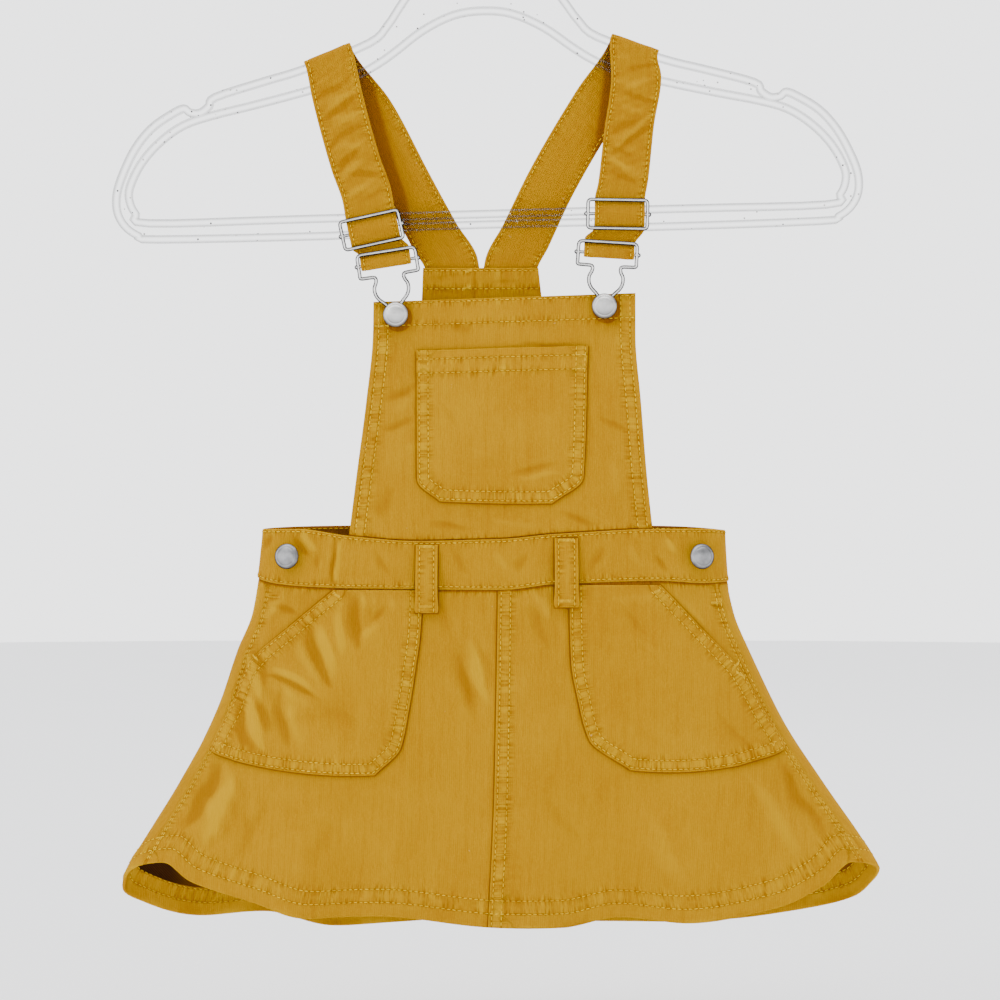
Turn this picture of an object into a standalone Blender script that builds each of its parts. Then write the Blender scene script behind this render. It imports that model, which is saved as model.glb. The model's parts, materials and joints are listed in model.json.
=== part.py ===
"""Toddler's corduroy pinafore dress with crossed-back straps, on a clear plastic hanger.

X runs to the viewer's right, Y away from the viewer and Z up. The origin is the inside of the
hanger hook's crown. Tables and sizes are in millimetres; "drop" is the distance below the origin.
"""
import math

import bmesh
import bpy
from mathutils import Matrix, Vector

MM = 0.001

# ---- cloth ----
SKIRT_WALL = 1.4
BAND_WALL = 2.0
STRAP_WALL = 1.6
STRAP_WIDTH = 25.0
SEAM_GAP = 0.4
BAND_END_GAP = 1.0
BIB_TO_BAND = 0.6
LAY_GAP = 0.35
POCKET_LAY_GAP = 0.8
PROBE = 0.5

# Squares across and down each sheet of cloth before it gets its wall.
GRIDS = {"waistband": (30, 2), "skirt_front": (13, 12), "skirt_back": (28, 12), "bib_front": (12, 8),
         "bib_back": (8, 10), "yoke_facing": (6, 2), "chest_pocket": (6, 10), "hip_pocket": (10, 13),
         "belt_loop": (2, 8)}
STRAP_COLUMNS = 2

# ---- rings: the waist and skirt are flattened rounds, wider and deeper towards the hem ----
ROUNDNESS = 2.3
FRONT_SIDE_SEAM = 16.5
LEFT_SIDE, RIGHT_SIDE, BACK_MIDDLE, FULL_TURN = 0.0, 180.0, 270.0, 360.0
WAIST_DROP = 342.0
BIB_TOP_DEPTH = 7.0
BACK_BIB_DEPTH = 7.4

# ---- straps and their hardware ----
WIRE_RADIUS = 0.75
BAR_RADIUS = 0.73
WIRE_SMOOTHNESS = 2
WIRE_CLEARANCE = 0.3
STRAP_TO_WIRE = WIRE_RADIUS + WIRE_CLEARANCE + STRAP_WALL / 2
SLIDER_DEPTH = 8.9
HOOK_DEPTH = 10.1
SLIDER_HALF_WIDTH = 14.8
SLIDER_HALF_HEIGHT = 7.1
HOOK_TOP_BAR = 31.9
HOOK_SLACK = 0.3
HOOK_LOW_BAR = 26.3
HOOK_HALF_WIDTH = 14.6
RETURN_DEPTH = 5.15
KNOB = 1.2
SLIDER_CORNER = 2.2
CORNER_STEPS = 3
SLOT_ANGLES = (25, 58, 90)

# ---- buttons ----
BUTTON_RADIUS = 6.3
BUTTON_CAP = 3.2
STEM_RADIUS = 1.7
STEM_LENGTH = 2.2
FLANGE_RADIUS = 4.0
FLANGE_THICKNESS = 0.5
BUTTON_STEPS = 20
WAIST_BUTTONS = {"left": -93.0, "right": 109.4}
WAIST_BUTTON_DROP = 353.2
FLANGE_SAG = 0.2

# ---- hanger ----
HANGER_TILT = 1.6
RIM_HALF = 2.0
RIM_DEPTH = 4.0
WEB_HALF = 1.1
HOOK_WIRE = 3.0
HOOK_RADIUS = 21.0
NECK_FOOT = -56
HOOK_TURNS = range(12, 289, 12)


class Table:
    """Rows of sizes, read between by a smooth curve that stays inside its rows."""

    def __init__(self, columns, rows):
        names = columns.split()
        self.columns = {name: [row[i] for row in rows] for i, name in enumerate(names)}
        self.keys = self.columns[names[0]]

    def slope(self, values, i):
        rises = [(values[j + 1] - values[j]) / (self.keys[j + 1] - self.keys[j])
                 for j in (i - 1, i) if 0 <= j < len(values) - 1]
        if len(rises) == 1:
            return rises[0]
        before, after = rises
        return 2 * before * after / (before + after) if before * after > 0 else 0.0

    def at(self, name, key):
        values, keys = self.columns[name], self.keys
        key = min(max(key, keys[0]), keys[-1])
        i = max(j for j in range(len(keys) - 1) if keys[j] <= key)
        span = keys[i + 1] - keys[i]
        t = (key - keys[i]) / span
        start, end = self.slope(values, i) * span, self.slope(values, i + 1) * span
        return (values[i] * (1 + 2 * t) * (1 - t) ** 2 + start * t * (1 - t) ** 2
                + values[i + 1] * t * t * (3 - 2 * t) + end * t * t * (t - 1))


# Half rounds of the ring at each height: where its sides are and how far it stands out.
LEVELS = Table("drop left right front back", (
    (336, -106, 122, 20, 17),
    (364, -109, 124, 22, 18),
    (382, -112, 127.5, 23, 19),
    (400, -119.5, 135, 24, 20),
    (435, -132, 152, 26, 22),
    (466, -148.5, 171.5, 28, 24),
    (497, -167.5, 193.5, 31, 26),
    (510, -175, 201, 32, 27),
    (545, -190, 216, 34, 29)))

# Edges of the waistband around the ring; turn is 0 at the left side, 90 in front, 180 at the right.
WAIST = Table("turn top bottom", (
    (0, 339.5, 363.5),
    (35, 339.4, 367.5),
    (55, 342.8, 368.6),
    (74, 345.2, 369),
    (91, 344.2, 369.3),
    (102, 341.8, 366.6),
    (131, 339.3, 365),
    (150, 339.2, 366.2),
    (180, 340, 365.5),
    (225, 338, 364.5),
    (270, 337.5, 364),
    (315, 338, 364),
    (360, 339.5, 363.5)))

# The hem around the ring: higher in front at both sides, lower behind.
HEM = Table("turn drop", (
    (0, 514),
    (14, 507),
    (26, 504.5),
    (38, 513.5),
    (54, 523),
    (64, 530),
    (75, 529),
    (90, 534),
    (96, 534),
    (104, 529.5),
    (114, 532),
    (130, 526),
    (142, 516.5),
    (157, 504.5),
    (180, 509),
    (195, 516.5),
    (206, 524.5),
    (225, 533),
    (250, 540),
    (270, 538),
    (292, 541),
    (305, 534),
    (316, 535.5),
    (340, 526),
    (352, 520.5),
    (360, 514)))

# Soft folds that run down the skirt: each stands out (or in, if negative) by its height.
# Columns: top_x, top, low_x, low, width, height.
FRONT_FOLDS = (
    (18, 425, 27, 545, 20, 5.0),
    (48, 440, 66, 545, 17, -4.5),
    (86, 455, 106, 545, 18, 3.5),
    (-52, 430, -66, 545, 17, -3.5),
    (-74, 440, -95, 545, 17, 4.0),
    (-22, 440, -24, 545, 20, -2.5),
    (128, 470, 152, 545, 20, -3.0),
    (-118, 460, -140, 545, 18, -3.0))
BACK_FOLDS = (
    (-10, 420, -14, 545, 22, 4.0),
    (34, 430, 46, 545, 20, -4.0),
    (70, 450, 96, 545, 20, 4.5),
    (-48, 430, -68, 545, 20, -4.0),
    (-84, 450, -112, 545, 20, 3.5),
    (120, 465, 146, 545, 20, -3.0))

# The seam down the middle of the skirt front.
CENTRE_SEAM = Table("drop x", ((366, 10.0), (430, 9.0), (475, 8.0), (535, 5.2)))

BIB = Table("drop left right", (
    (222, -51.9, 78.4),
    (243, -52.2, 78.4),
    (276, -55.3, 80.9),
    (312, -59.8, 83.6),
    (346, -64.0, 87.2)))
BIB_TOP_LEFT, BIB_TOP_RIGHT = 226.5, 222.0

# The back bib is a narrow neck at the straps that spreads to the waistband in two scoops.
BACK_BIB = Table("drop left right", (
    (208.7, -27.6, 30.2),
    (224, -28.2, 32.0),
    (262, -32, 38),
    (292, -44, 51),
    (318, -58, 67),
    (345, -66, 78)))
YOKE_DEPTH = 3.5
YOKE_DROPS = (208.7, 223.0)

# Patches: where each row starts and ends on the panel, and how much its middle hangs lower.
PATCH_COLUMNS = "row left left_drop right right_drop sag"
CHEST_POCKET = Table(PATCH_COLUMNS, (
    (0, -30.5, 251, 54.7, 248.5, 0),
    (0.8, -29.8, 315.1, 52.1, 314.1, 0),
    (1, -18.7, 325.8, 36.7, 326.8, 0.5)))
HIP_POCKET_LEFT = Table(PATCH_COLUMNS, (
    (0, -71, 369.5, -27, 369.5, 0),
    (0.18, -91.8, 386.8, -28, 389.2, 0),
    (0.38, -112.6, 406, -30.4, 407.8, 0),
    (0.62, -122.0, 427, -33.8, 429, 0),
    (0.84, -131.5, 449, -37.7, 447, 1.5),
    (1, -120, 454, -50.5, 460.3, 2.5)))
HIP_POCKET_RIGHT = Table(PATCH_COLUMNS, (
    (0, 45, 367, 90, 367, 0),
    (0.18, 45.3, 386.7, 109.9, 387.8, 0),
    (0.38, 46, 405.4, 130.3, 410, 0),
    (0.62, 49.4, 424, 141.2, 429.4, 0),
    (0.84, 54.8, 443.1, 151.6, 448, 1.0),
    (1, 75, 457.8, 129.6, 455.9, 2.0)))

# Belt loops. Columns: side, x, top, bottom, width.
BELT_LOOPS = (
    ("left", -25.0, 347.2, 380.7, 10.8),
    ("right", 43.6, 344.0, 378.0, 11.6))
LOOP_BULGE = 1.6
BAND_SHARE_OF_LOOP = 0.62

# Strap fittings. Columns: side, the button's x and drop, the hook's tilt, the slider's x, drop
# and tilt, and how far the strap lies to the right in the slider and in the hook.
FITTINGS = (
    ("left", -40.8, 233.0, 9.0, -52.9, 190.8, 12.4, 1.0, -0.8),
    ("right", 62.8, 228.8, -3.5, 69.5, 182.9, -1.0, 1.0, 0.8))

# Strap middle lines behind and in front of the hanger, from the back band to the slider.
# Columns: x, y, drop, tilt, half width.
BACK_RUNS = {
    "left": ((-13.0, 5.3, 212.0, 0, 14.0), (-13.1, 5.3, 208.4, 14, 13.6),
             (-22.1, 5.2, 192, 27, 12.7), (-36.0, 5.2, 166, 28.5, 12.5), (-54.6, 5.2, 131, 28, 12.5)),
    "right": ((16.2, 5.3, 212.0, 0, 13.8), (16.4, 5.3, 208.4, -12, 13.4),
              (24.2, 5.2, 192, -25, 12.7), (36.6, 5.2, 166, -27, 12.5), (60.0, 5.2, 126, -27, 12.5))}
FRONT_RUNS = {
    "left": ((-70.0, -5.2, 124, 13, 12.5), (-61.0, -5.6, 157, 17, 12.5), (-55.4, -6.2, 173, 16, 12.5)),
    "right": ((78.9, -5.2, 114, -2, 12.5), (75.3, -5.5, 140, 6, 12.5), (72.4, -6.2, 166, 3, 12.5))}
CREST_PLACES = {"left": -77.8, "right": 75.5}
SHORT_STEP, LONG_STEP = 2.2, 9.0

# One half of the hanger in its own frame: distance from its axis and drop below the crown.
HANGER_OUTER = (
    (5, 46), (9, 49.5), (20, 53.5), (32, 62), (42, 75), (49, 85), (58.2, 93.4), (90.5, 105.3),
    (110.4, 110.8), (135.8, 118.2), (139.5, 123), (143.2, 125.6), (147, 125.3), (150.5, 122.9),
    (158.4, 126.5), (168.4, 133.2), (177.1, 143.4), (183.6, 155.9), (187.3, 166.8), (187.2, 176.8),
    (183, 184.8), (175.8, 190), (166, 192.2), (79.5, 192.8), (62, 191.6), (52, 189.6))
HANGER_WINDOW = (
    (0, 82.5), (14.2, 84.3), (29.2, 91.3), (43.2, 101.5), (53.2, 108), (65, 113.5), (89.2, 120.3),
    (115, 126.4), (136, 131), (150.3, 135.5), (162, 143.4), (171.2, 153.5), (176.7, 164.3),
    (177, 170.5), (174.5, 175.8), (168.5, 180.1), (90, 180.1))

# One half of the bib hook's wire: distance from its axis and height above the button.
BIB_HOOK_HALF = (
    (14.6, 20.9), (13.6, 20.2), (8.2, 20.0), (7.0, 19.0), (7.2, 17.2), (8.4, 14.6), (8.3, 11.5),
    (7.0, 8.8), (4.6, 6.4), (3.0, 4.2), (2.8, 0.8))


def material(name, colour, roughness, metallic=0.0, transmission=0.0):
    new = bpy.data.materials.new(name)
    new.use_nodes = True
    shader = new.node_tree.nodes["Principled BSDF"]
    shader.inputs["Base Color"].default_value = (*colour, 1.0)
    shader.inputs["Roughness"].default_value = roughness
    shader.inputs["Metallic"].default_value = metallic
    shader.inputs["Transmission Weight"].default_value = transmission
    return new


def add_object(name, data, finish, collection):
    new = bpy.data.objects.new(name, data)
    new.data.materials.append(finish)
    collection.objects.link(new)
    return new


def rounded(turn):
    """Place on a round of half width and depth 1: how far across and how far to the front."""
    across, forward = math.cos(math.radians(turn)), math.sin(math.radians(turn))
    power = 2 / ROUNDNESS
    return -math.copysign(abs(across) ** power, across), math.copysign(abs(forward) ** power, forward)


def fold_height(folds, x, drop):
    """How far the folds push the cloth out at a place."""
    total = 0.0
    for top_x, top, low_x, low, width, height in folds:
        along = min(max((drop - top) / (low - top), 0.0), 1.0)
        beside = (x - top_x - (low_x - top_x) * along) / width
        total += height * along * math.exp(-beside * beside)
    return total


def ring(turn, drop):
    """Point of the waist and skirt ring at a turn in degrees and a drop."""
    left, right = LEVELS.at("left", drop), LEVELS.at("right", drop)
    across, forward = rounded(turn)
    x = (left + right) / 2 + across * (right - left) / 2
    if forward > 0:
        y = -forward * (LEVELS.at("front", drop) + fold_height(FRONT_FOLDS, x, drop))
    else:
        y = -forward * (LEVELS.at("back", drop) + fold_height(BACK_FOLDS, x, drop))
    return Vector((x, y, -drop))


def front_turn(x, drop):
    """The turn, from 0 to 180, at which the front of the ring passes x."""
    left, right = LEVELS.at("left", drop), LEVELS.at("right", drop)
    across = (2 * x - left - right) / (right - left)
    across = min(max(across, -0.999), 0.999)
    return math.degrees(math.acos(-math.copysign(abs(across) ** (ROUNDNESS / 2), across)))


def back_turn(x, drop):
    return FULL_TURN - front_turn(x, drop)


def skirt_front(x, drop):
    return ring(front_turn(x, drop), drop)


def eased(t):
    t = min(max(t, 0.0), 1.0)
    return t * t * (3 - 2 * t)


def front_bib_surface(x, drop):
    """The bib leaves the waist ring and runs up to the flat of the hanger."""
    down = eased((drop - BIB_TOP_RIGHT) / (WAIST_DROP - BIB_TOP_RIGHT))
    waist = ring(front_turn(x, WAIST_DROP), WAIST_DROP).y
    return Vector((x, -BIB_TOP_DEPTH + (waist + BIB_TOP_DEPTH) * down, -drop))


def back_bib_surface(x, drop):
    down = eased((drop - YOKE_DROPS[1]) / (WAIST_DROP - YOKE_DROPS[1]))
    waist = ring(back_turn(x, WAIST_DROP), WAIST_DROP).y
    return Vector((x, BACK_BIB_DEPTH + (waist - BACK_BIB_DEPTH) * down, -drop))


def lifted(surface, x, drop, lift):
    """Point at a distance in front of a surface that faces the viewer."""
    beside = surface(x + PROBE, drop) - surface(x - PROBE, drop)
    below = surface(x, drop + PROBE) - surface(x, drop - PROBE)
    return surface(x, drop) + below.cross(beside).normalized() * lift


def cloth(name, place, grid, wall, finish, collection):
    """Wall of cloth: place(s, t) gives its middle surface, s across and t down, both 0 to 1."""
    columns, rows = grid
    sheet = bmesh.new()
    bmesh.ops.create_grid(sheet, x_segments=columns, y_segments=rows, size=1)
    for vert in sheet.verts:
        vert.co = place((vert.co.x + 1) / 2, (1 - vert.co.y) / 2) * MM
    mesh = bpy.data.meshes.new(name)
    sheet.to_mesh(mesh)
    sheet.free()
    mesh.shade_smooth()
    new = add_object(name, mesh, finish, collection)
    solid = new.modifiers.new("Wall", "SOLIDIFY")
    solid.thickness = wall * MM
    solid.offset = 0
    solid.use_even_offset = True
    return new


def between(a, b, t):
    return a + (b - a) * t


def step_turn(turn, drop, distance):
    """The turn that lies a distance further round the ring."""
    reach = (ring(turn + PROBE, drop) - ring(turn - PROBE, drop)).length / (2 * PROBE)
    return turn + distance / reach


def waistband(name, start, end, finish, collection):
    def place(s, t):
        left = step_turn(start, WAIST_DROP, BAND_END_GAP / 2)
        right = step_turn(end, WAIST_DROP, -BAND_END_GAP / 2)
        turn = between(left, right, s)
        return ring(turn, between(WAIST.at("top", turn % 360), WAIST.at("bottom", turn % 360), t))
    return cloth(name, place, GRIDS["waistband"], BAND_WALL, finish, collection)


def skirt_panel(name, start, end, grid, finish, collection):
    """Panel between two seams; start and end give each seam's turn at a drop."""
    def place(s, t):
        drop = between(WAIST_DROP, HEM.keys[0], t)
        for _ in range(3):
            left = step_turn(start(drop), drop, SEAM_GAP / 2)
            right = step_turn(end(drop), drop, -SEAM_GAP / 2)
            turn = between(left, right, s)
            top = WAIST.at("bottom", turn % 360) + SEAM_GAP
            drop = between(top, HEM.at("drop", turn % 360), t)
        return ring(turn, drop)
    return cloth(name, place, grid, SKIRT_WALL, finish, collection)


def make_waist_and_skirt(finish, collection):
    waistband("waistband_front", LEFT_SIDE, RIGHT_SIDE, finish, collection)
    waistband("waistband_back", RIGHT_SIDE, FULL_TURN, finish, collection)

    def centre(drop):
        return front_turn(CENTRE_SEAM.at("x", drop), drop)

    def left_side(drop):
        return FRONT_SIDE_SEAM

    def right_side(drop):
        return RIGHT_SIDE - FRONT_SIDE_SEAM

    def left_side_from_behind(drop):
        return FULL_TURN + FRONT_SIDE_SEAM

    front_grid, back_grid = GRIDS["skirt_front"], GRIDS["skirt_back"]
    skirt_panel("skirt_front_left", left_side, centre, front_grid, finish, collection)
    skirt_panel("skirt_front_right", centre, right_side, front_grid, finish, collection)
    skirt_panel("skirt_back", right_side, left_side_from_behind, back_grid, finish, collection)


def make_bibs(finish, collection):
    def front(s, t):
        top = between(BIB_TOP_LEFT, BIB_TOP_RIGHT, s)
        x = between(BIB.at("left", WAIST_DROP), BIB.at("right", WAIST_DROP), s)
        bottom = WAIST.at("top", front_turn(x, WAIST_DROP)) - BIB_TO_BAND
        drop = between(top, bottom, t)
        x = between(BIB.at("left", drop), BIB.at("right", drop), s)
        return front_bib_surface(x, drop)

    def back(s, t):
        drop = between(YOKE_DROPS[0], WAIST.at("top", BACK_MIDDLE) - BIB_TO_BAND, t)
        return back_bib_surface(between(BACK_BIB.at("left", drop), BACK_BIB.at("right", drop), s), drop)

    def yoke(s, t):
        drop = between(*YOKE_DROPS, t)
        x = between(BACK_BIB.at("left", drop), BACK_BIB.at("right", drop), s)
        return Vector((x, YOKE_DEPTH, -drop))

    for name, place in (("bib_front", front), ("bib_back", back), ("yoke_facing", yoke)):
        cloth(name, place, GRIDS[name], SKIRT_WALL, finish, collection)


def patch(name, surface, table, lift, grid, finish, collection):
    """Patch of cloth on a panel, made from the panel's points and moved out."""
    def place(s, t):
        x = between(table.at("left", t), table.at("right", t), s)
        drop = between(table.at("left_drop", t), table.at("right_drop", t), s)
        drop += table.at("sag", t) * 4 * s * (1 - s)
        return lifted(surface, x, drop, lift)
    return cloth(name, place, grid, SKIRT_WALL, finish, collection)


def make_pockets(finish, collection):
    on_bib, on_skirt = SKIRT_WALL + LAY_GAP, SKIRT_WALL + POCKET_LAY_GAP
    hip = GRIDS["hip_pocket"]
    patch("chest_pocket", front_bib_surface, CHEST_POCKET, on_bib, GRIDS["chest_pocket"], finish, collection)
    patch("hip_pocket_left", skirt_front, HIP_POCKET_LEFT, on_skirt, hip, finish, collection)
    patch("hip_pocket_right", skirt_front, HIP_POCKET_RIGHT, on_skirt, hip, finish, collection)


def make_belt_loops(finish, collection):
    """Strips sewn down at both ends, bowed out from the band between."""
    for side, x, top, bottom, width in BELT_LOOPS:
        def place(s, t):
            on_band = BAND_WALL / 2 + LAY_GAP + SKIRT_WALL / 2
            on_pocket = 2 * SKIRT_WALL + POCKET_LAY_GAP + LAY_GAP
            lift = between(on_band, on_pocket, eased(t / BAND_SHARE_OF_LOOP))
            lift += LOOP_BULGE * math.sin(math.pi * t)
            return lifted(skirt_front, x + (s - 0.5) * width, between(top, bottom, t), lift)
        cloth("belt_loop_" + side, place, GRIDS["belt_loop"], SKIRT_WALL, finish, collection)


def turned(x, up, tilt):
    """A point of a small part's own frame, tilted in the plane of the dress."""
    cos, sin = math.cos(math.radians(tilt)), math.sin(math.radians(tilt))
    return x * cos - up * sin, x * sin + up * cos


def wire_mesh(name, points, radius, closed):
    """A round wire along points, as a closed mesh."""
    curve = bpy.data.curves.new(name, "CURVE")
    curve.dimensions = "3D"
    curve.fill_mode = "FULL"
    curve.bevel_depth = radius * MM
    curve.bevel_resolution = WIRE_SMOOTHNESS
    curve.use_fill_caps = True
    line = curve.splines.new("POLY")
    line.points.add(len(points) - 1)
    for point, place in zip(line.points, points):
        point.co = (*(Vector(place) * MM), 1)
    line.use_cyclic_u = closed
    return curve_to_mesh(name, curve)


def curve_to_mesh(name, curve, turn=None):
    """The curve's evaluated mesh with its caps welded; turn is the object's matrix."""
    holder = bpy.data.objects.new(name + "_line", curve)
    bpy.context.scene.collection.objects.link(holder)
    if turn is not None:
        holder.matrix_world = turn
    shape = holder.evaluated_get(bpy.context.evaluated_depsgraph_get())
    mesh = bpy.data.meshes.new_from_object(shape)
    mesh.transform(holder.matrix_world)
    bpy.data.objects.remove(holder)
    welded = bmesh.new()
    welded.from_mesh(mesh)
    bmesh.ops.remove_doubles(welded, verts=welded.verts, dist=0.01 * MM)
    bmesh.ops.recalc_face_normals(welded, faces=welded.faces)
    welded.to_mesh(mesh)
    welded.free()
    mesh.name = name
    return mesh


def unite(target, tools, cutters):
    """Join named closed meshes to an object with one Boolean union."""
    group = bpy.data.collections.new(target.name + "_tools")
    cutters.children.link(group)
    for name, mesh in tools.items():
        tool = bpy.data.objects.new(name, mesh)
        group.objects.link(tool)
        tool.hide_render = True
        tool.display_type = "WIRE"
    join = target.modifiers.new("Join", "BOOLEAN")
    join.operation = "UNION"
    join.solver = "EXACT"
    join.use_self = True
    join.operand_type = "COLLECTION"
    join.collection = group


def round_corners(corners, radius, steps):
    """A closed outline with each corner turned into an arc."""
    outline = []
    for i, corner in enumerate(corners):
        here = Vector(corner)
        to_last = (Vector(corners[i - 1]) - here).normalized()
        to_next = (Vector(corners[(i + 1) % len(corners)]) - here).normalized()
        for step in range(steps + 1):
            t = step / steps
            outline.append(here + to_last * radius * (1 - t) ** 2 + to_next * radius * t ** 2)
    return outline


def make_slider(side, x, drop, tilt, finish, collection, cutters):
    """A wire frame with a bar across its middle whose ends stand out as knobs."""
    w, h = SLIDER_HALF_WIDTH, SLIDER_HALF_HEIGHT

    def place(point):
        across, up = turned(point[0], point[1], tilt)
        return (x + across, -SLIDER_DEPTH, -drop + up)

    corners = ((-w, h), (w, h), (w, -h), (-w, -h))
    frame = [place(point) for point in round_corners(corners, SLIDER_CORNER, CORNER_STEPS)]
    wire = wire_mesh("slider_" + side, frame, WIRE_RADIUS, True)
    slider = add_object("slider_" + side, wire, finish, collection)
    bar = [place((-w - KNOB, 0)), place((w + KNOB, 0))]
    name = "slider_bar_" + side
    unite(slider, {name: wire_mesh(name, bar, BAR_RADIUS, False)}, cutters)


def make_bib_hook(side, x, drop, tilt, finish, collection, cutters):
    """A bent wire: two bars for the strap, shoulders, a neck, and a slot round the button's stem."""
    def place(across, up):
        across, up = turned(across, up, tilt)
        return (x + across, -HOOK_DEPTH, -drop + up)

    top = HOOK_TOP_BAR
    wide = HOOK_HALF_WIDTH
    right = [(wide - 1.6, top), (wide - 0.4, top - 0.5), (wide, top - 1.6), *BIB_HOOK_HALF]
    slot = right[-1][0]
    bottom = [turned(slot, 0, -angle) for angle in SLOT_ANGLES]
    half = right + bottom
    outline = half + [(-a, b) for a, b in reversed(half[:-1])]
    wire = wire_mesh("bib_hook_" + side, [place(*point) for point in outline], WIRE_RADIUS, True)
    hook = add_object("bib_hook_" + side, wire, finish, collection)
    bar = [place(-wide - KNOB, HOOK_LOW_BAR), place(wide + KNOB, HOOK_LOW_BAR)]
    name = "hook_bar_" + side
    unite(hook, {name: wire_mesh(name, bar, BAR_RADIUS, False)}, cutters)


def make_button(name, foot, outward, finish, collection):
    """A domed metal button: flange on the cloth, stem and cap, turned about its stem."""
    under = FLANGE_THICKNESS + STEM_LENGTH
    top = under + BUTTON_CAP
    r = BUTTON_RADIUS
    profile = ((0, top), (r * 0.42, top - 0.25), (r * 0.74, top - 0.95), (r * 0.94, top - 1.9),
               (r, top - 2.5), (r * 0.95, top - 3.0), (STEM_RADIUS, under), (STEM_RADIUS, FLANGE_THICKNESS),
               (FLANGE_RADIUS, FLANGE_THICKNESS), (FLANGE_RADIUS, 0), (0, 0))
    outline = bmesh.new()
    verts = [outline.verts.new((across * MM, 0, up * MM)) for across, up in profile]
    for pair in zip(verts, verts[1:]):
        outline.edges.new(pair)
    mesh = bpy.data.meshes.new(name)
    outline.to_mesh(mesh)
    outline.free()
    button = add_object(name, mesh, finish, collection)
    button.location = foot * MM
    button.rotation_euler = outward.to_track_quat("Z", "Y").to_euler()
    screw = button.modifiers.new("Turn", "SCREW")
    screw.axis = "Z"
    screw.steps = BUTTON_STEPS
    screw.render_steps = BUTTON_STEPS
    screw.use_merge_vertices = True
    screw.merge_threshold = 0.00005
    screw.use_smooth_shade = True


def make_buttons(finish, collection):
    for side, x, drop, *_ in FITTINGS:
        foot = front_bib_surface(x, drop) + Vector((0, -(SKIRT_WALL / 2 + LAY_GAP + FLANGE_SAG), 0))
        make_button("bib_button_" + side, foot, Vector((0, -1, 0)), finish, collection)
    for side, x in WAIST_BUTTONS.items():
        foot = lifted(skirt_front, x, WAIST_BUTTON_DROP, BAND_WALL / 2 + LAY_GAP + FLANGE_SAG)
        outward = foot - skirt_front(x, WAIST_BUTTON_DROP)
        make_button("waist_button_" + side, foot, outward, finish, collection)


def arm_top(place):
    """Drop of the hanger arm's top edge at a distance from the axis, and the arm's slope."""
    inner, outer = HANGER_OUTER[6], HANGER_OUTER[7]
    slope = (outer[1] - inner[1]) / (outer[0] - inner[0])
    return inner[1] + (abs(place) - inner[0]) * slope, math.degrees(math.atan(slope))


def strap_route(side, fitting):
    """Rows (x, y, drop, tilt, half width) from the back band over the hanger to the slider."""
    _, button_x, button_drop, hook_tilt, slider_x, slider_drop, slider_tilt, slider_shift, hook_shift = fitting
    half = STRAP_WIDTH / 2
    route = list(BACK_RUNS[side])

    place = CREST_PLACES[side]
    own_drop, slope = arm_top(place)
    crest_x, crest_up = turned(place, -own_drop, HANGER_TILT)
    crest_tilt = math.copysign(slope, -place) + HANGER_TILT
    bend = RIM_HALF + LAY_GAP + STRAP_WALL / 2
    flat = RIM_DEPTH - RIM_HALF
    for angle in (180, 150, 120, 90, 60, 30, 0):
        middle = -flat if angle < 90 else flat if angle > 90 else 0
        y = middle - bend * math.cos(math.radians(angle))
        up = bend * math.sin(math.radians(angle)) - RIM_HALF
        x_shift, z_shift = turned(0, up, crest_tilt)
        route.append((crest_x + x_shift, y, -(crest_up + z_shift), crest_tilt, half))

    route += FRONT_RUNS[side]

    def on_slider(up, y):
        across, rise = turned(slider_shift, up, slider_tilt)
        return (slider_x + across, y, slider_drop - rise, slider_tilt, half)

    behind_slider, over_slider = -SLIDER_DEPTH + STRAP_TO_WIRE, -SLIDER_DEPTH - STRAP_TO_WIRE
    route.append(on_slider(SLIDER_HALF_HEIGHT, behind_slider))
    route.append(on_slider(SLIDER_HALF_HEIGHT / 2, -SLIDER_DEPTH))
    route.append(on_slider(0, over_slider))
    route.append(on_slider(-SLIDER_HALF_HEIGHT / 2, -SLIDER_DEPTH))
    route.append(on_slider(-SLIDER_HALF_HEIGHT, behind_slider))

    def on_hook(up, y):
        across, rise = turned(hook_shift, up, hook_tilt)
        return (button_x + across, y, button_drop - rise, hook_tilt, half)

    behind_hook = -HOOK_DEPTH + STRAP_TO_WIRE + HOOK_SLACK
    route.append(on_hook(HOOK_TOP_BAR, behind_hook))
    route.append(on_hook((HOOK_TOP_BAR + HOOK_LOW_BAR) / 2, -HOOK_DEPTH))
    for angle in (180, 140, 100, 60, 20):
        y = -HOOK_DEPTH + STRAP_TO_WIRE * math.cos(math.radians(angle))
        up = HOOK_LOW_BAR - STRAP_TO_WIRE * math.sin(math.radians(angle))
        route.append(on_hook(up, y))
    route.append(on_hook(HOOK_TOP_BAR - 1.5, -RETURN_DEPTH - 0.75))
    route.append(on_hook(HOOK_TOP_BAR + 1.5, -RETURN_DEPTH))
    route.append(on_slider(-SLIDER_HALF_HEIGHT + 0.5, -RETURN_DEPTH))
    route.append(on_slider(-1.5, behind_slider + 0.2))
    return route


def smooth_rows(rows):
    """Samples of a smooth curve through rows: close together in bends, wider on straight runs."""
    names = "along x y drop tilt half"
    reached = [0.0]
    for a, b in zip(rows, rows[1:]):
        reached.append(reached[-1] + math.dist(a[:3], b[:3]))
    table = Table(names, [(at, *row) for at, row in zip(reached, rows)])
    places = [0.0]
    for start, end in zip(reached, reached[1:]):
        pieces = 1 if end - start < SHORT_STEP else max(3, math.ceil((end - start) / LONG_STEP))
        places += [between(start, end, (i + 1) / pieces) for i in range(pieces)]
    return [[table.at(name, place) for name in names.split()[1:]] for place in places]


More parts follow.
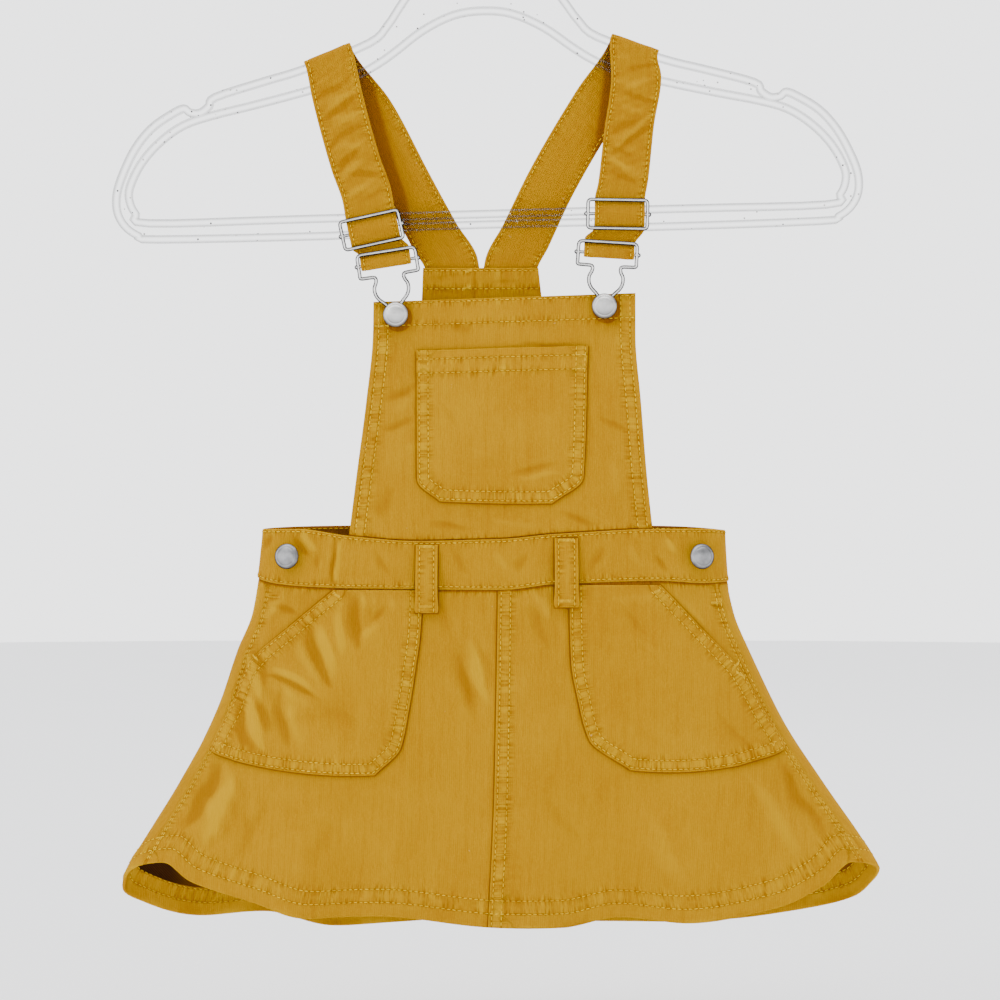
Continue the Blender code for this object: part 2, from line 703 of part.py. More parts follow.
def make_straps(finish, collection):
    for fitting in FITTINGS:
        side = fitting[0]
        rows = smooth_rows(strap_route(side, fitting))

        def place(s, t):
            x, y, drop, tilt, half = rows[round(t * (len(rows) - 1))]
            across, up = turned((2 * s - 1) * half, 0, tilt)
            return Vector((x + across, y, -drop + up))
        grid = (STRAP_COLUMNS, len(rows) - 1)
        cloth("strap_" + side, place, grid, STRAP_WALL, finish, collection)


def inset(points, distance):
    """A closed outline moved to its left-hand side by a distance."""
    moved = []
    for i, point in enumerate(points):
        here = Vector(point)
        before = (here - Vector(points[i - 1])).normalized()
        after = (Vector(points[(i + 1) % len(points)]) - here).normalized()
        along = (before + after).normalized()
        reach = distance / max(along.dot(after), 0.5)
        moved.append(here + Vector((-along.y, along.x)) * reach)
    return moved


def whole_outline(half):
    """Mirror a half outline, which runs down from the axis on the right, to a closed one."""
    right = [Vector((across, -down)) for across, down in half]
    left = [Vector((-point.x, point.y)) for point in reversed(right) if point.x > 0]
    return right + left


def make_hanger(finish, collection, cutters):
    """A thin web between an outer and an inner rim, with a round hook above."""
    upright = Matrix.Rotation(math.radians(90), 4, "X")
    stand = Matrix.Rotation(math.radians(-HANGER_TILT), 4, "Y") @ upright
    outer = inset(whole_outline(HANGER_OUTER), -RIM_HALF)
    window = inset(whole_outline(HANGER_WINDOW), RIM_HALF)

    def flat_curve(name, outlines):
        curve = bpy.data.curves.new(name, "CURVE")
        for outline in outlines:
            line = curve.splines.new("POLY")
            line.points.add(len(outline) - 1)
            for point, place in zip(line.points, outline):
                point.co = (place.x * MM, place.y * MM, 0, 1)
            line.use_cyclic_u = True
        return curve

    web = flat_curve("hanger", [outer, window])
    web.dimensions = "2D"
    web.fill_mode = "BOTH"
    web.extrude = WEB_HALF * MM
    hanger = add_object("hanger", curve_to_mesh("hanger", web, stand), finish, collection)
    tools = {}
    for name, outline in (("outer_rim", outer), ("inner_rim", window)):
        rim = flat_curve(name, [outline])
        rim.dimensions = "3D"
        rim.twist_mode = "Z_UP"
        rim.fill_mode = "FULL"
        rim.extrude = (RIM_DEPTH - RIM_HALF) * MM
        rim.bevel_depth = RIM_HALF * MM
        rim.bevel_resolution = 1
        tools[name] = curve_to_mesh(name, rim, stand)

    def leaning(across, up):
        x, z = turned(across, up, HANGER_TILT)
        return (x, 0, z)

    centre = HOOK_WIRE - HOOK_RADIUS
    neck = [leaning(0, up) for up in (NECK_FOOT, centre - HOOK_RADIUS - HOOK_WIRE)]
    around = []
    for turn in HOOK_TURNS:
        across, up = turned(0, -HOOK_RADIUS, turn)
        around.append(leaning(across, centre + up))
    tools["hook"] = wire_mesh("hook", neck + around, HOOK_WIRE, False)
    unite(hanger, tools, cutters)


def main():
    for old in list(bpy.data.objects):
        bpy.data.objects.remove(old)
    dress = bpy.data.collections.new("pinafore_dress")
    cutters = bpy.data.collections.new("cutters")
    bpy.context.scene.collection.children.link(dress)
    bpy.context.scene.collection.children.link(cutters)

    corduroy = material("mustard_corduroy", (0.60, 0.30, 0.012), 0.9)
    nickel = material("satin_nickel", (0.62, 0.60, 0.57), 0.32, metallic=1.0)
    plastic = material("clear_plastic", (0.93, 0.95, 0.96), 0.08, transmission=0.9)

    make_waist_and_skirt(corduroy, dress)
    make_bibs(corduroy, dress)
    make_pockets(corduroy, dress)
    make_belt_loops(corduroy, dress)
    make_straps(corduroy, dress)
    for side, x, drop, hook_tilt, slider_x, slider_drop, slider_tilt, _, _ in FITTINGS:
        make_slider(side, slider_x, slider_drop, slider_tilt, nickel, dress, cutters)
        make_bib_hook(side, x, drop, hook_tilt, nickel, dress, cutters)
    make_buttons(nickel, dress)
    make_hanger(plastic, dress, cutters)


main()
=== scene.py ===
"""Looks of a toddler's corduroy pinafore dress on a clear plastic hanger.

Sizes are in millimetres until a mesh is made. X runs to the viewer's right, Y away and Z up, and
"drop" is the distance below the inside of the hanger hook's crown.
"""

import json
import math
from collections import namedtuple

import bmesh
import bpy
import numpy as np
from mathutils import Matrix, Vector

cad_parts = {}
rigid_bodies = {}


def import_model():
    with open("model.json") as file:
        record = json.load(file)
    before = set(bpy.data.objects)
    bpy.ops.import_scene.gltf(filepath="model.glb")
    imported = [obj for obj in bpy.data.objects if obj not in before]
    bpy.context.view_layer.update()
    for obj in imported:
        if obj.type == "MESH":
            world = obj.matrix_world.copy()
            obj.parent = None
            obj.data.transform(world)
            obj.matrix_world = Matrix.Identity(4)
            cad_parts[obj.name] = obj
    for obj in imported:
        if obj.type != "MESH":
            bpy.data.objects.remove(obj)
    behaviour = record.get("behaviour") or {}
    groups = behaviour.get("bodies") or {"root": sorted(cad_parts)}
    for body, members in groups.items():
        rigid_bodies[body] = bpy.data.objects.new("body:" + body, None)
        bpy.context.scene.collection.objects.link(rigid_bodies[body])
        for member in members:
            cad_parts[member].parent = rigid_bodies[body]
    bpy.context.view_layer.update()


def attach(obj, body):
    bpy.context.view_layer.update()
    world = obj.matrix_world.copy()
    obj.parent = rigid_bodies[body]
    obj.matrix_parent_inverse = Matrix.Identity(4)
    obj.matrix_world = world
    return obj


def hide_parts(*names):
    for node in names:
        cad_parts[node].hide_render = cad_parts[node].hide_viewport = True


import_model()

MM = 0.001

# ---- cloth ----
SKIRT_WALL = 1.4
PANEL_WALL = 1.2
BAND_WALL = 1.9
BAND_LIFT = 0.3
PATCH_WALL = 1.1
PATCH_TUCK = 7.0
STRAP_WALL = 1.6
STRAP_WIDTH = 25.0
BIB_TO_BAND = 0.12
LAY_GAP = 0.35
PATCH_LIFT = SKIRT_WALL + LAY_GAP
# PROBE is how far to each side a surface is felt for its slope. FAR is for cloth that nothing covers.
PROBE, FAR = 0.5, 99.0
BOTH_FACES = (1, -1)

# ---- rings: the waist and skirt are flattened rounds, wider and deeper towards the hem ----
ROUNDNESS = 2.3
# Turns run from the left side over the front and back behind, in degrees.
LEFT_SIDE, RIGHT_SIDE, BACK_MIDDLE, FULL_TURN = 0.0, 180.0, 270.0, 360.0
LEFT_SEAM = 16.5
RIGHT_SEAM = RIGHT_SIDE - LEFT_SEAM
WAIST_DROP, WAIST_FOOT = 342.0, 366.0
# Drops at which the lengths along the band, the skirt and the hem are measured.
BAND_LEVEL, SKIRT_LEVEL, HEM_LEVEL = 354.0, 470.0, 520.0
RING_SAMPLES, ARC_SAMPLES = 1441, 721
HEM_TURNED_UP = 14.6
BIB_TOP_DEPTH = 7.0
BACK_BIB_DEPTH = 7.4

# ---- straps and their hardware ----
WIRE_RADIUS = 0.92
BAR_RADIUS = 0.80
STRAP_TO_WIRE = 1.85
SLIDER_DEPTH = 8.9
HOOK_DEPTH = 10.1
SLIDER_HALF_WIDTH = 14.8
SLIDER_HALF_HEIGHT = 7.1
HOOK_TOP_BAR = 31.9
HOOK_SLACK = 0.3
HOOK_LOW_BAR = 26.3
HOOK_HALF_WIDTH = 14.6
RETURN_DEPTH = 5.15
KNOB, KNOB_IN, KNOB_RADIUS = 1.2, 0.8, 1.15
SLIDER_CORNER = 1.9
SLOT_ANGLES = (25, 58, 90)

# ---- buttons ----
BUTTON_RADIUS = 6.3
BUTTON_CAP = 3.2
STEM_RADIUS = 1.7
STEM_LENGTH = 2.2
FLANGE_RADIUS = 4.0
FLANGE_THICKNESS = 0.5
WAIST_BUTTONS = {"left": -93.0, "right": 109.4}
WAIST_BUTTON_DROP, WAIST_BUTTON_LIFT = 353.2, 1.0
FLANGE_SAG = 0.2
# Half profile of the cap. Columns: share of its radius, distance below its top.
CAP_PROFILE = (
    (0, 0), (0.2, 0.04), (0.42, 0.2), (0.6, 0.47), (0.70, 0.72), (0.73, 0.90), (0.76, 0.93), (0.79, 0.88),
    (0.86, 1.12), (0.94, 1.62), (0.985, 2.1), (1, 2.5), (0.985, 2.85), (0.93, 3.05), (0.80, 3.0))

# ---- hanger ----
HANGER_TILT = 1.6
RIM_HALF = 2.0
RIM_DEPTH = 4.0
WEB_HALF = 1.1
HOOK_WIRE = 3.0
HOOK_RADIUS = 21.0
HOOK_FOOT = 56.0


class Table:
    """Rows of sizes, read between by a smooth curve that stays inside its rows."""

    def __init__(self, columns, rows):
        names = columns.split()
        self.columns = {name: np.array([row[i] for row in rows], float) for i, name in enumerate(names)}
        self.keys = self.columns[names[0]]
        self.slopes = {name: self.slopes_of(values) for name, values in self.columns.items()}

    def slopes_of(self, values):
        rises = np.diff(values) / np.diff(self.keys)
        before, after = rises[:-1], rises[1:]
        same = before * after > 0
        middle = np.where(same, 2 * before * after / np.where(same, before + after, 1), 0)
        return np.concatenate(([rises[0]], middle, [rises[-1]]))

    def at(self, name, key):
        values, slopes, keys = self.columns[name], self.slopes[name], self.keys
        key = np.clip(key, keys[0], keys[-1])
        i = np.clip(np.searchsorted(keys, key, side="right") - 1, 0, len(keys) - 2)
        span = keys[i + 1] - keys[i]
        t = (key - keys[i]) / span
        return (values[i] * (1 + 2 * t) * (1 - t) ** 2 + slopes[i] * span * t * (1 - t) ** 2
                + values[i + 1] * t * t * (3 - 2 * t) + slopes[i + 1] * span * t * t * (t - 1))


LEVELS = Table("drop left right front back", (
    (336, -106, 122, 20, 17),
    (364, -109, 124, 22, 18),
    (382, -112, 127.5, 23, 19),
    (400, -119.5, 135, 24, 20),
    (435, -132, 152, 26, 22),
    (466, -148.5, 171.5, 28, 24),
    (497, -167.5, 193.5, 31, 26),
    (510, -175, 201, 32, 27),
    (545, -190, 216, 34, 29)))

WAIST = Table("turn top bottom", (
    (0, 339.5, 363.5),
    (35, 339.4, 367.5),
    (55, 342.8, 368.6),
    (74, 345.2, 369),
    (91, 344.2, 369.3),
    (102, 341.8, 366.6),
    (131, 339.3, 365),
    (150, 339.2, 366.2),
    (180, 340, 365.5),
    (225, 338, 364.5),
    (270, 337.5, 364),
    (315, 338, 364),
    (360, 339.5, 363.5)))

HEM = Table("turn drop", (
    (0, 514),
    (14, 507),
    (26, 504.5),
    (38, 513.5),
    (54, 523),
    (64, 530),
    (75, 529),
    (90, 534),
    (96, 534),
    (104, 529.5),
    (114, 532),
    (130, 526),
    (142, 516.5),
    (157, 504.5),
    (180, 509),
    (195, 516.5),
    (206, 524.5),
    (225, 533),
    (250, 540),
    (270, 538),
    (292, 541),
    (305, 534),
    (316, 535.5),
    (340, 526),
    (352, 520.5),
    (360, 514)))

# Soft folds that run down the skirt. Columns: top_x, top, low_x, low, width, height.
FRONT_FOLDS = (
    (18, 425, 27, 545, 20, 5.0),
    (48, 440, 66, 545, 17, -4.5),
    (86, 455, 106, 545, 18, 3.5),
    (-52, 430, -66, 545, 17, -3.5),
    (-74, 440, -95, 545, 17, 4.0),
    (-22, 440, -24, 545, 20, -2.5),
    (128, 470, 152, 545, 20, -3.0),
    (-118, 460, -140, 545, 18, -3.0))
BACK_FOLDS = (
    (-10, 420, -14, 545, 22, 4.0),
    (34, 430, 46, 545, 20, -4.0),
    (70, 450, 96, 545, 20, 4.5),
    (-48, 430, -68, 545, 20, -4.0),
    (-84, 450, -112, 545, 20, 3.5),
    (120, 465, 146, 545, 20, -3.0))

CENTRE_SEAM = Table("drop x", ((366, 10.0), (430, 9.0), (475, 8.0), (535, 5.2)))

BIB = Table("drop left right", (
    (222, -51.9, 78.4),
    (243, -52.2, 78.4),
    (276, -55.3, 80.9),
    (312, -59.8, 83.6),
    (346, -64.0, 87.2)))
BIB_TOP_LEFT, BIB_TOP_RIGHT = 226.5, 222.0

BACK_BIB = Table("drop left right", (
    (208.7, -27.6, 30.2),
    (224, -28.2, 32.0),
    (262, -32, 38),
    (292, -44, 51),
    (318, -58, 67),
    (345, -66, 78)))
YOKE_DEPTH = 3.5
YOKE_TOP, YOKE_FOOT = 208.7, 226.0
BACK_BIB_BEND = 223.0

# Patches: where each row starts and ends on the panel, and how much its middle hangs lower.
PATCH_COLUMNS = "row left left_drop right right_drop sag"
CHEST_POCKET = Table(PATCH_COLUMNS, (
    (0, -30.5, 251, 54.7, 248.5, 0),
    (0.8, -29.8, 315.1, 52.1, 314.1, 0),
    (1, -18.7, 325.8, 36.7, 326.8, 0.5)))
HIP_POCKET_LEFT = Table(PATCH_COLUMNS, (
    (0, -71, 369.5, -27, 369.5, 0),
    (0.18, -91.8, 386.8, -28, 389.2, 0),
    (0.38, -112.6, 406, -30.4, 407.8, 0),
    (0.62, -122.0, 427, -33.8, 429, 0),
    (0.84, -131.5, 449, -37.7, 447, 1.5),
    (1, -120, 454, -50.5, 460.3, 2.5)))
HIP_POCKET_RIGHT = Table(PATCH_COLUMNS, (
    (0, 45, 367, 90, 367, 0),
    (0.18, 45.3, 386.7, 109.9, 387.8, 0),
    (0.38, 46, 405.4, 130.3, 410, 0),
    (0.62, 49.4, 424, 141.2, 429.4, 0),
    (0.84, 54.8, 443.1, 151.6, 448, 1.0),
    (1, 75, 457.8, 129.6, 455.9, 2.0)))

# Belt loops. Columns: side, x, top, bottom, width.
BELT_LOOPS = (
    ("left", -25.0, 347.2, 380.7, 10.8),
    ("right", 43.6, 344.0, 378.0, 11.6))
LOOP_BULGE = 1.6
LOOP_FLARE = 0.10
BAND_SHARE_OF_LOOP = 0.62

# Each strap's fittings: its button, the hook's tilt, the slider's place and tilt, and how far the strap
# lies to the right in the slider and in the hook.
Fitting = namedtuple("Fitting", "side button_x button_drop hook_tilt slider_x slider_drop slider_tilt "
                                "slider_shift hook_shift")
FITTINGS = (
    Fitting("left", -40.8, 233.0, 9.0, -52.9, 190.8, 12.4, 1.0, -0.8),
    Fitting("right", 62.8, 228.8, -3.5, 69.5, 182.9, -1.0, 1.0, 0.8))

# Strap middle lines behind and in front of the hanger. Columns: x, y, drop, tilt, half width.
BACK_RUNS = {
    "left": ((-13.0, 5.3, 212.0, 0, 14.0), (-13.1, 5.3, 208.4, 14, 13.6),
             (-22.1, 5.2, 192, 27, 12.7), (-36.0, 5.2, 166, 28.5, 12.5), (-54.6, 5.2, 131, 28, 12.5)),
    "right": ((16.2, 5.3, 212.0, 0, 13.8), (16.4, 5.3, 208.4, -12, 13.4),
              (24.2, 5.2, 192, -25, 12.7), (36.6, 5.2, 166, -27, 12.5), (60.0, 5.2, 126, -27, 12.5))}
FRONT_RUNS = {
    "left": ((-70.0, -5.2, 124, 13, 12.5), (-61.0, -5.6, 157, 17, 12.5), (-55.4, -6.2, 173, 16, 12.5)),
    "right": ((78.9, -5.2, 114, -2, 12.5), (75.3, -5.5, 140, 6, 12.5), (72.4, -6.2, 166, 3, 12.5))}
CREST_PLACES = {"left": -77.8, "right": 75.5}
# Middle line of each front run, as drops and x, and how far its shade reaches on the back run.
SHADE_LINES = {"left": ((100, 124, 157, 173, 191, 212), (-76.5, -70, -61, -55.4, -52.9, -50)),
               "right": ((98, 114, 140, 166, 183, 212), (79.5, 78.9, 75.3, 72.4, 69.5, 68))}
SHADE_WIDTHS = {"left": 6.5, "right": 2.8}

# One half of the hanger in its own frame: distance from its axis and drop below the crown.
HANGER_OUTER = (
    (5, 46), (9, 49.5), (20, 53.5), (32, 62), (42, 75), (49, 85), (58.2, 93.4), (90.5, 105.3),
    (110.4, 110.8), (135.8, 118.2), (139.5, 123), (143.2, 125.6), (147, 125.3), (150.5, 122.9),
    (158.4, 126.5), (168.4, 133.2), (177.1, 143.4), (183.6, 155.9), (187.3, 166.8), (187.2, 176.8),
    (183, 184.8), (175.8, 190), (166, 192.2), (79.5, 192.8), (62, 191.6), (52, 189.6))
HANGER_WINDOW = (
    (0, 82.5), (14.2, 84.3), (29.2, 91.3), (43.2, 101.5), (53.2, 108), (65, 113.5), (89.2, 120.3),
    (115, 126.4), (136, 131), (150.3, 135.5), (162, 143.4), (171.2, 153.5), (176.7, 164.3),
    (177, 170.5), (174.5, 175.8), (168.5, 180.1), (90, 180.1))

BIB_HOOK_HALF = (
    (14.6, 20.9), (13.6, 20.2), (8.2, 20.0), (7.0, 19.0), (7.2, 17.2), (8.4, 14.6), (8.3, 11.5),
    (7.0, 8.8), (4.6, 6.4), (3.0, 4.2), (2.8, 0.8))

# Creases, soft troughs and ridges. Columns: x, drop, to x, to drop, width, height, bow.
SKIRT_CREASES = (
    (-61, 370, -59.5, 397, 5.0, -1.7, 0.5),
    (-45, 373, -57, 389, 4.6, -1.3, 1.0),
    (-53, 371, -54, 384, 3.0, -0.5, 0),
    (-68, 380, -66, 404, 3.6, 0.6, -1),
    (-82, 391, -73, 415, 3.4, -1.4, -1.5),
    (-77, 388, -69, 408, 3.0, 0.6, 0),
    (-103, 412, -81, 421.5, 1.7, -0.9, 1.6),
    (-101, 409, -84, 415, 2.4, 0.6, 1.0),
    (-112.5, 403, -107.6, 424, 3.2, 1.5, 0.8),
    (-111.5, 422, -105.5, 447, 3.6, 1.6, -1.2),
    (-98, 418, -93, 447, 5.5, -1.2, -1.5),
    (-119, 414, -116, 444, 3.2, -0.8, 0),
    (-92, 436, -58, 432, 9.0, -0.9, 2),
    (-128, 456, -144, 486, 5.0, -1.8, 1),
    (-120, 462, -134, 494, 5.0, 1.2, 1),
    (-104, 468, -122, 504, 9.0, -0.9, 2),
    (-3, 397, 4, 424, 3.6, 0.8, 0.8),
    (-12, 398, -2, 432, 5.0, -0.8, 1),
    (-22, 370, -12, 394, 4.5, -0.5, 0),
    (24, 374, 36, 404, 6.0, -1.0, 1.5),
    (20, 398, 24, 434, 7.0, 0.6, 0),
    (38, 378, 39, 398, 2.6, -0.5, 0),
    (62, 386, 108, 424, 11.0, 0.8, 3),
    (60, 418, 92, 448, 8.0, -0.7, -2),
    (116, 430, 138, 452, 6.0, -0.8, 0),
    (94, 374, 114, 394, 3.6, -0.7, 1),
    (70, 378, 84, 392, 3.0, -0.4, 0),
    (150, 455, 172, 490, 6.0, -1.3, -1),
    (134, 462, 158, 500, 7.0, 0.9, 1),
    (30, 470, 50, 502, 10.0, -0.7, 2),
    (-40, 480, -48, 514, 9.0, 0.6, 1),
    (-70, 474, -84, 508, 9.0, -0.7, 1),
    (84, 476, 100, 510, 10.0, 0.7, -2),
    (-96, 371, -104, 384, 3.2, 0.6, 0),
    (-105.5, 373.2, -96.5, 373.9, 0.9, -0.9, 0),
    (115, 376.6, 122, 377.4, 0.9, -0.8, 0),
    (-101, 377, -90, 381, 1.8, -0.6, 0.5))
BACK_CREASES = (
    (-60, 374, -66, 400, 6.0, -0.91, 1),
    (-48, 378, -52, 396, 4.4, 0.52, 0),
    (-20, 380, -26, 420, 7.0, -0.65, 1.5),
    (10, 372, 14, 396, 5.0, 0.59, -1),
    (34, 376, 42, 410, 6.0, -0.78, 1),
    (70, 374, 78, 396, 5.0, -0.59, 0),
    (88, 384, 98, 420, 6.0, 0.78, 1.5),
    (104, 410, 122, 446, 7.0, -0.85, -1),
    (-92, 400, -108, 440, 7.0, -0.85, 1),
    (-78, 420, -90, 460, 8.0, 0.72, -1),
    (20, 430, 26, 470, 10.0, 0.59, 2),
    (-40, 450, -50, 500, 11.0, -0.65, -2),
    (70, 460, 84, 505, 12.0, -0.65, 2),
    (-120, 470, -138, 505, 8.0, 0.72, 1),
    (140, 470, 158, 505, 8.0, 0.65, -1))
BAND_CREASES = (
    (-70.3, 344, -71.3, 367, 1.0, -1.7, 0.3),
    (-68.3, 345, -69.2, 366, 1.5, 0.9, 0),
    (-86.5, 340, -80, 349, 1.8, 0.8, -0.5),
    (-90, 345, -83, 352, 2.0, -0.5, 0),
    (-77, 348, -80, 362, 2.4, -0.4, 0),
    (-101, 341, -105, 350, 1.8, -0.5, 0),
    (-52, 350, -44, 362, 3.4, -0.4, 0.5),
    (-12, 350, -6, 362, 4.0, -0.4, 0),
    (8, 348, 14, 360, 3.4, 0.4, 0),
    (24, 350, 20, 362, 3.4, -0.4, 0),
    (62, 347, 56, 360, 3.4, -0.5, 0),
    (74, 344, 80, 360, 4.0, 0.4, 0),
    (93, 344, 98, 352, 2.0, 0.5, 0),
    (88, 352, 94, 360, 2.4, -0.5, 0))
BIB_CREASES = (
    (-30, 268, -46, 276, 3.4, -0.6, 1),
    (-31, 284, -46, 290, 3.4, -0.5, 1),
    (-40, 300, -22, 297, 4.0, 0.35, 0),
    (-42, 318, -48, 334, 4.6, -0.5, 0),
    (-26, 336, 0, 339, 2.6, -0.5, 0),
    (6, 335, 30, 338, 3.0, 0.4, 0),
    (40, 331, 62, 338, 3.4, -0.5, 0),
    (60, 284, 74, 291, 3.0, -0.4, 0),
    (64, 300, 70, 326, 5.0, 0.4, 1),
    (18, 248.4, 50, 247.2, 1.6, -0.55, 0.3),
    (-44, 243, -46, 256, 3.2, 0.4, 0),
    (-16, 236, -2, 241, 3.0, -0.3, 0),
    (70, 240, 71, 252, 3.0, 0.4, 0))
BACK_BIB_CREASES = (
    (-20, 240, -26, 280, 6, 0.8, 1),
    (6, 236, 10, 270, 7, -0.9, -1),
    (24, 260, 40, 300, 7, 0.8, 1),
    (-36, 300, -20, 326, 8, -0.8, 0),
    (10, 300, 0, 330, 9, 0.7, 1))
YOKE_CREASES = (
    (-1.2, 207, -1.5, 226, 0.9, -0.55, 0),
    (-3.2, 209, -3.4, 224, 1.6, 0.35, 0),
    (-24, 214, -8, 213, 1.6, -0.35, 0.5),
    (-22, 219, -10, 221, 1.4, -0.3, 0),
    (4, 216, 24, 215, 1.4, -0.3, 0),
    (12, 219, 27, 221, 1.8, 0.3, 0))
CHEST_POCKET_CREASES = (
    (-12, 300, 14, 306, 4.0, 0.35, 1),
    (10, 274, 32, 270, 5.0, -0.3, 1),
    (16, 313, 39, 308, 2.2, -0.5, 1),
    (20, 316, 41, 311.5, 1.8, 0.35, 1),
    (-20, 276, -8, 290, 5.0, -0.3, 0))
# Creases across a strap's front run. Columns: place along from the slider, across, slant, width, height.
STRAP_CREASES = {
    "left": (
        (9, 2, 0.35, 1.5, -0.45), (15, -5, 0.2, 2.2, 0.5), (21, 4, -0.3, 1.5, -0.6),
        (27, -2, 0.4, 1.6, 0.4), (32, -6, 0.45, 1.5, -0.7), (37, 3, -0.1, 2.2, 0.5),
        (43, -1, 0.3, 1.3, -0.5), (50, 5, 0.1, 2.4, 0.6), (56, -2, 0.35, 1.7, -0.9),
        (61, 3, 0.2, 1.8, 0.5), (67, -4, 0.2, 1.4, -0.5)),
    "right": (
        (6, -3, -0.2, 1.3, -0.35), (12, 4, -0.6, 1.6, -0.6), (17, -3, -0.5, 1.8, 0.5),
        (24, -5, -0.3, 1.3, -0.4), (29, 3, 0.7, 1.5, -0.7), (33, 5, 0.8, 1.5, 0.5),
        (39, -4, 0.4, 1.6, -0.5), (46, 2, -0.2, 2.2, 0.4), (53, 4, -0.4, 1.4, -0.5),
        (60, -2, 0.2, 2.4, 0.4), (68, 3, 0.3, 1.4, -0.35))}

# Rows of stitches, measured in from their edge.
HEM_ROWS = (6.9, 13.3)
BIB_SIDE_ROWS = (2.8, 7.4)
BIB_TOP_ROWS = (1.1, 12.2)
POCKET_ROWS = (1.3, 5.7)
POCKET_HEM_ROWS = (4.6, 11.6)
SEAM_ROWS = (1.7, 6.4)
LEFT_SIDE_ROWS = (1.2, 2.2)
RIGHT_SIDE_ROWS = (1.2, 3.4)
YOKE_ROWS = (1.4, 10.5)
BAND_ROW = 1.4
LOOP_ROW = 1.9
STRAP_ROW = 1.8
STITCH_STEP, STITCH_LENGTH, STITCH_RADIUS = 2.7, 2.1, 0.27
TACK_STEP, TACK_LENGTH, TACK_RADIUS = 5.0, 1.8, 0.22
# Bar tacks. Columns: x, drop, length, tilt in radians.
SIDE_TACKS = ((-101.2, 373.6, 6.5, 0.05), (118.6, 376.9, 5.0, 0.05))
YOKE_TACKS = ((-5.6, 219.6, 4.4, -0.35), (-4.4, 210.9, 3.4, -0.35))
LEFT_POCKET_TACKS = ((-109.0, 404.4, 3.6, 0.75), (-68.6, 373.2, 3.0, 0.5))
RIGHT_POCKET_TACKS = ((127.0, 408.4, 4.6, -0.75), (129.4, 412.6, 4.6, 0.5), (88.4, 370.8, 3.0, -0.5))


def eased(t):
    t = np.clip(t, 0, 1)
    return t * t * (3 - 2 * t)


def between(a, b, t):
    return a + (b - a) * t


def bell(off, width):
    return np.exp(-(off / width) ** 2)


# ---------------------------------------------------------------- the surfaces the cloth lies on
def rounded(turn):
    """Place on a round of half width and depth 1: how far across and how far to the front."""
    across, forward = np.cos(np.radians(turn)), np.sin(np.radians(turn))
    power = 2 / ROUNDNESS
    return -np.copysign(np.abs(across) ** power, across), np.copysign(np.abs(forward) ** power, forward)


def fold_height(folds, x, drop):
    """How far the folds push the cloth out at a place."""
    total = np.zeros(np.broadcast(x, drop).shape)
    for top_x, top, low_x, low, width, height in folds:
        along = np.clip((drop - top) / (low - top), 0, 1)
        total = total + height * along * bell(x - top_x - (low_x - top_x) * along, width)
    return total


def ring(turn, drop):
    """Points of the waist and skirt ring at turns in degrees and drops."""
    turn, drop = np.broadcast_arrays(np.asarray(turn, float), np.asarray(drop, float))
    left, right = LEVELS.at("left", drop), LEVELS.at("right", drop)
    across, forward = rounded(turn)
    x = (left + right) / 2 + across * (right - left) / 2
    front = LEVELS.at("front", drop) + fold_height(FRONT_FOLDS, x, drop)
    back = LEVELS.at("back", drop) + fold_height(BACK_FOLDS, x, drop)
    return np.stack((x, -forward * np.where(forward > 0, front, back), -drop), -1)


def front_turn(x, drop):
    """The turn, from 0 to 180, at which the front of the ring passes x."""
    left, right = LEVELS.at("left", drop), LEVELS.at("right", drop)
    across = np.clip((2 * x - left - right) / (right - left), -0.999, 0.999)
    return np.degrees(np.arccos(-np.copysign(np.abs(across) ** (ROUNDNESS / 2), across)))


def skirt_front(x, drop):
    return ring(front_turn(x, drop), drop)


def stacked(x, y, drop):
    x, y, drop = np.broadcast_arrays(np.asarray(x, float), y, drop)
    return np.stack((x, y, -drop), -1)


def front_bib_surface(x, drop):
    """The bib leaves the waist ring and runs up to the flat of the hanger."""
    down = eased((drop - BIB_TOP_RIGHT) / (WAIST_DROP - BIB_TOP_RIGHT))
    waist = ring(front_turn(x, WAIST_DROP), WAIST_DROP)[..., 1]
    return stacked(x, -BIB_TOP_DEPTH + (waist + BIB_TOP_DEPTH) * down, drop)


def back_bib_surface(x, drop):
    down = eased((drop - BACK_BIB_BEND) / (WAIST_DROP - BACK_BIB_BEND))
    waist = ring(FULL_TURN - front_turn(x, WAIST_DROP), WAIST_DROP)[..., 1]
    return stacked(x, BACK_BIB_DEPTH + (waist - BACK_BIB_DEPTH) * down, drop)


def yoke_surface(x, drop):
    return stacked(x, YOKE_DEPTH, drop)


# ---------------------------------------------------------------- relief: creases, seams and puckers
def wander(x, drop, seed):
    """Small irregular shifts, so that no crease runs like a drawn line."""
    return 0.32 * (np.sin(x / 3.7 + drop / 8.1 + seed) + np.sin(drop / 3.3 - x / 6.9 + 2 * seed)
                   + 0.6 * np.sin(x / 1.9 - drop / 2.6 + 3 * seed))


def creases(rows, x, drop):
    """Creases that swell in their middle, die away at both ends, may bow and fall steeper on one side."""
    total = np.zeros(np.broadcast(x, drop).shape)
    x, drop = x + wander(x, drop, 1), drop + wander(drop, x, 2)
    for x0, drop0, x1, drop1, width, height, bow in rows:
        length = math.hypot(x1 - x0, drop1 - drop0)
        across, down = (x1 - x0) / length, (drop1 - drop0) / length
        along = ((x - x0) * across + (drop - drop0) * down) / length
        off = (x - x0) * down - (drop - drop0) * across - bow * 4 * along * (1 - along)
        swell = np.sin(math.pi * np.clip((along + 0.2) / 1.4, 0, 1))
        steep = np.where(off > 0, 0.7, 1.3)
        total = total + height * swell ** 1.3 * bell(off, width * steep * (0.5 + 0.5 * swell))
    return total


